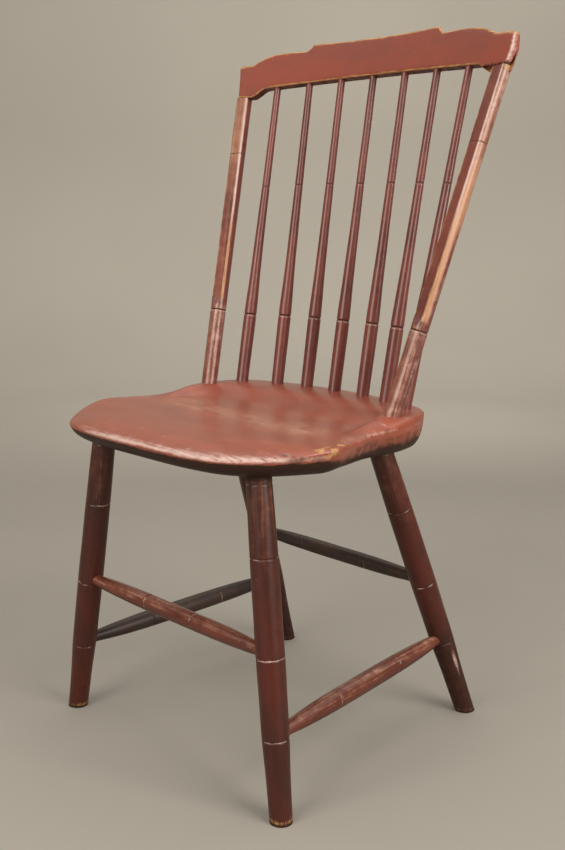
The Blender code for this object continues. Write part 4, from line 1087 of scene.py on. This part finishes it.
class CHAIR_OT_posts(Operator):
    """Turn the two back posts and shave their fronts flat"""
    bl_idname = "chair.posts"
    bl_label = "Posts"

    def execute(self, context):
        sizes, colours = context.scene.chair_sizes, context.scene.chair_colours
        paint = worn_paint("Back paint", colours)
        rings = [(POST_NODE, sizes.ring_depth), (POST_UPPER_RING, FAINT_RING_DEPTH)]
        full = sizes.post / 2
        for side, label in ((1, "left"), (-1, "right")):
            base, joint, back = post_frame(side, sizes)
            run = joint - base
            place = stand(base, run.normalized())
            ahead = place.inverted().to_3x3() @ -back
            ahead = Vector((ahead.x, ahead.y, 0.0)).normalized()
            up_board = Vector((0.0, sin(CREST_LEAN), cos(CREST_LEAN)))
            rise = BREAK_HEIGHT if side > 0 else 0.0
            seed = Vector((side * 2.0, 7.0, 3.0))
            bm = spun(-0.004, run.length + rise + 0.010, lambda s: full, rings,
                      sizes.ring_width, 96, seed)
            for vert in bm.verts:
                s = vert.co.z
                shaved = ease((s - POST_NODE - sizes.ring_width) / POST_FLAT_RUNOUT)
                reach = full - sizes.post_flat * shaved
                out = Vector((vert.co.x, vert.co.y, 0.0))
                facing = out.dot(ahead)
                if facing > reach:
                    if out.length > 0.0001:
                        vert.co.x *= reach / facing
                        vert.co.y *= reach / facing
            floor = place.inverted() @ (joint + up_board * (rise - 0.0003))
            away = place.inverted().to_3x3() @ up_board
            bmesh.ops.bisect_plane(bm, geom=bm.verts[:] + bm.edges[:] + bm.faces[:],
                                   dist=CUT_TOLERANCE, plane_co=floor, plane_no=away,
                                   clear_outer=True)
            bmesh.ops.contextual_create(bm, geom=[e for e in bm.edges if e.is_boundary])

            across = Vector((-ahead.y, ahead.x, 0.0))
            if (place.to_3x3() @ across).x < 0:
                across.negate()
            arris = sqrt(full ** 2 - (full - sizes.post_flat) ** 2)

            def finish(local, world):
                s = local.z
                rub_and_highlight, dirt_and_shade = scored_lines(s, rings, sizes.ring_width)
                aside = across.x * local.x + across.y * local.y
                facing = ahead.x * local.x + ahead.y * local.y
                shaved = ease((s - POST_NODE - 0.004) / 0.012)
                edge = bell(facing - full + sizes.post_flat, 0.0018) * shaved
                near, far = (edge * bell(aside - way * arris, 0.0024) for way in (1, -1))
                low = 1 - ease((s - 0.17) / 0.12)
                wear = max(far * 0.56, near * (0.34 + 0.44 * low))
                rub_and_highlight = max(rub_and_highlight, near * 0.56, 0.24 * (1 - shaved) * ease(aside / full + 0.6))
                wear = max(wear, 0.42 * bell(s - POST_NODE + 0.006, 0.022) * ease(facing / full))
                thin_and_sheen = 0.0
                if side > 0:
                    # On this post the round beside the flat is tan and pale, partly worn paint and
                    # partly a painted highlight; low down, where it turns away, it is darkened as
                    # painted shade.
                    band = shaved * ease((aside - arris + 0.0004) / 0.0008)
                    thin_and_sheen = band * (0.78 - 0.36 * ease((s - 0.27) / 0.08))
                    dark = band * ease((0.0015 - facing) / 0.003) * (1 - ease((s - 0.20) / 0.05))
                    thin_and_sheen, dirt_and_shade = thin_and_sheen * (1 - 0.7 * dark), max(dirt_and_shade, 0.25 * dark)
                    rub_and_highlight = max(rub_and_highlight, band * (0.20 + 0.06 * ease((s - 0.25) / 0.06)))
                    wear = max(wear, 0.60 * band * bell(s - run.length - rise, 0.009))
                    thin_and_sheen = max(thin_and_sheen, 0.12 * shaved * (1 - ease((abs(aside) - arris) / 0.0006)))
                else:
                    face = shaved * (1 - ease((abs(aside) - arris) / 0.0006))
                    thin_and_sheen = face * (0.28 + 0.20 * ease((s - 0.26) / 0.08))
                    rub_and_highlight = max(rub_and_highlight, 0.10 * face)
                thin_and_sheen = max(thin_and_sheen, 0.34 * (1 - shaved) * ease(facing / full + 0.3))
                return wear, rub_and_highlight, dirt_and_shade, thin_and_sheen

            name = f"post_{label}"
            add_piece(f"shaved_{name}", bm, place, paint, finish, [name], seed)
        return {"FINISHED"}


def spindle_radius(s, sizes):
    """Radius of every spindle at a distance above the deck."""
    stations = [(0.0, sizes.spindle_base), (SPINDLE_NODE, sizes.spindle_node),
                (SPINDLE_WAIST, sizes.spindle_waist), (SPINDLE_MIDDLE, sizes.spindle_middle),
                ((SPINDLE_MIDDLE + CREST_RISE) / 2,
                 (sizes.spindle_middle + 2 * sizes.spindle_top) / 3),
                (CREST_RISE, sizes.spindle_top)]
    return smooth_curve(stations, s) / 2


class CHAIR_OT_spindles(Operator):
    """Turn the seven tapering spindles"""
    bl_idname = "chair.spindles"
    bl_label = "Spindles"

    def execute(self, context):
        sizes, colours = context.scene.chair_sizes, context.scene.chair_colours
        paint = worn_paint("Back paint", colours)
        rings = [(SPINDLE_NODE, sizes.ring_depth), (SPINDLE_UPPER_RING, FAINT_RING_DEPTH)]
        row = [(-x, y) for x, y in reversed(SPINDLE_PAIRS)] + [(0.0, 0.0)] + list(SPINDLE_PAIRS)
        for index, (x, y) in enumerate(row, 1):
            board_x = CREST_POST_SPAN * (2 * index / (len(row) + 1) - 1)
            base = Vector((x, y, sizes.deck_height))
            goal = board_to_chair(board_point(board_x, SPINDLE_SET_BACK, crest_bottom(board_x)),
                                  sizes)
            run = goal - base
            seed = Vector((index * 1.7, 3.0, index * 0.37))
            bm = spun(-0.004, run.length + 0.004, lambda s: spindle_radius(s, sizes), rings,
                      sizes.ring_width, 32, seed)

            def finish(local, world):
                rub_and_highlight, dirt_and_shade = scored_lines(local.z, rings, sizes.ring_width)
                return 0.35 * bell(local.z - 0.001, 0.002), rub_and_highlight, dirt_and_shade, 0.0

            add_piece(f"turned_spindle_{index}", bm, stand(base, run.normalized()), paint,
                      finish, [f"spindle_{index}"], seed)
        return {"FINISHED"}


class CHAIR_OT_pins(Operator):
    """Finish the two wooden pins in the crest's back"""
    bl_idname = "chair.pins"
    bl_label = "Pins"

    def execute(self, context):
        wood = bare_wood(context.scene.chair_colours)
        for label in ("left", "right"):
            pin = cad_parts[f"crest_pin_{label}"]
            if not pin.material_slots:
                raise RuntimeError(f"crest_pin_{label} has no material slot")
            for slot in pin.material_slots:
                slot.material = wood
        return {"FINISHED"}


# ---------------------------------------------------------------- studio

def soft_light(name, place, aim, width, height, power):
    """An area light that faces a point and stays out of the picture."""
    light = bpy.data.lights.new(name, "AREA")
    light.shape = "RECTANGLE"
    light.size = width
    light.size_y = height
    light.energy = power
    light.color = WARM_WHITE
    lamp = bpy.data.objects.new(name, light)
    lamp.location = place
    lamp.rotation_euler = (Vector(aim) - Vector(place)).to_track_quat("-Z", "Y").to_euler()
    lamp.visible_camera = False
    bpy.context.scene.collection.objects.link(lamp)


class CHAIR_OT_studio(Operator):
    """Set up the pale seamless backdrop, the soft lights and the camera"""
    bl_idname = "chair.studio"
    bl_label = "Studio"

    def execute(self, context):
        scene = context.scene
        colours = scene.chair_colours
        # A round paper sweep: flat floor, a wide curve and an upright wall.
        bm = bmesh.new()
        curve = WALL_REACH - FLOOR_REACH
        outline = [(0.0, 0.0), (FLOOR_REACH / 2, 0.0), (FLOOR_REACH, 0.0)]
        outline += [(FLOOR_REACH + curve * sin(radians(a)), curve * (1 - cos(radians(a))))
                    for a in range(6, 91, 6)]
        outline += [(WALL_REACH, 2 * curve), (WALL_REACH, WALL_HEIGHT)]
        verts = [bm.verts.new((reach, 0.0, height)) for reach, height in outline]
        edges = [bm.edges.new(pair) for pair in zip(verts[:-1], verts[1:])]
        bmesh.ops.spin(bm, geom=verts + edges, cent=(0, 0, 0), axis=(0, 0, 1), dvec=(0, 0, 0),
                       angle=2 * pi, steps=96, use_merge=True, use_duplicate=False)
        bmesh.ops.remove_doubles(bm, verts=bm.verts, dist=0.00001)
        bmesh.ops.recalc_face_normals(bm, faces=bm.faces)
        if sum(face.normal.z for face in bm.faces if face.calc_center_median().z < 0.01) < 0:
            bmesh.ops.reverse_faces(bm, faces=bm.faces)
        mesh = bpy.data.meshes.new("backdrop")
        bm.to_mesh(mesh)
        bm.free()
        mesh.shade_smooth()
        mesh.materials.append(backdrop_paper(colours))
        backdrop = bpy.data.objects.new("backdrop", mesh)
        scene.collection.objects.link(backdrop)

        for light in SOFT_LIGHTS:
            soft_light(*light)
        world = bpy.data.worlds.new("Studio")
        world.use_nodes = True
        glow = world.node_tree.nodes["Background"]
        glow.inputs["Color"].default_value = (*WARM_WHITE, 1.0)
        glow.inputs["Strength"].default_value = WORLD_STRENGTH
        scene.world = world

        lens = bpy.data.cameras.new("Camera")
        lens.lens = CAMERA_LENS
        lens.sensor_width = 36.0
        lens.shift_x, lens.shift_y = CAMERA_SHIFT
        lens.clip_start = 0.05
        camera = bpy.data.objects.new("Camera", lens)
        azimuth, elevation = CAMERA_AZIMUTH, CAMERA_ELEVATION
        back = Vector((sin(azimuth) * cos(elevation), -cos(azimuth) * cos(elevation),
                       sin(elevation)))
        right = Vector((cos(azimuth), sin(azimuth), 0.0))
        turn = Matrix((right, back.cross(right), back)).transposed()
        camera.matrix_world = (Matrix.Translation(Vector(CAMERA_PLACE) + SET_BACK) @ turn.to_4x4()
                               @ Matrix.Rotation(CAMERA_ROLL, 4, "Z"))
        scene.collection.objects.link(camera)
        scene.camera = camera
        scene.view_settings.view_transform = "Standard"
        return {"FINISHED"}


class CHAIR_PT_sidebar(Panel):
    """The chair's sizes, colours and making steps"""
    bl_idname = "CHAIR_PT_sidebar"
    bl_label = "Worn Red Side Chair"
    bl_space_type = "VIEW_3D"
    bl_region_type = "UI"
    bl_category = "Chair"

    def draw(self, context):
        for group in (context.scene.chair_sizes, context.scene.chair_colours):
            box = self.layout.box()
            for name in group.__annotations__:
                box.prop(group, name)
        column = self.layout.column()
        for operator in OPERATORS:
            column.operator(operator.bl_idname)


OPERATORS = (CHAIR_OT_seat, CHAIR_OT_legs, CHAIR_OT_stretchers, CHAIR_OT_crest, CHAIR_OT_posts,
             CHAIR_OT_spindles, CHAIR_OT_pins, CHAIR_OT_studio)
CLASSES = (ChairSizes, ChairColours, *OPERATORS, CHAIR_PT_sidebar)


def register():
    for cls in CLASSES:
        bpy.utils.register_class(cls)
    bpy.types.Scene.chair_sizes = PointerProperty(type=ChairSizes)
    bpy.types.Scene.chair_colours = PointerProperty(type=ChairColours)


def unregister():
    del bpy.types.Scene.chair_colours
    del bpy.types.Scene.chair_sizes
    for cls in reversed(CLASSES):
        bpy.utils.unregister_class(cls)


def main():
    """Make the whole chair and its studio."""
    register()
    bpy.ops.chair.seat()
    bpy.ops.chair.legs()
    bpy.ops.chair.stretchers()
    bpy.ops.chair.crest()
    bpy.ops.chair.posts()
    bpy.ops.chair.spindles()
    bpy.ops.chair.pins()
    bpy.ops.chair.studio()


if __name__ == "__main__":
    main()
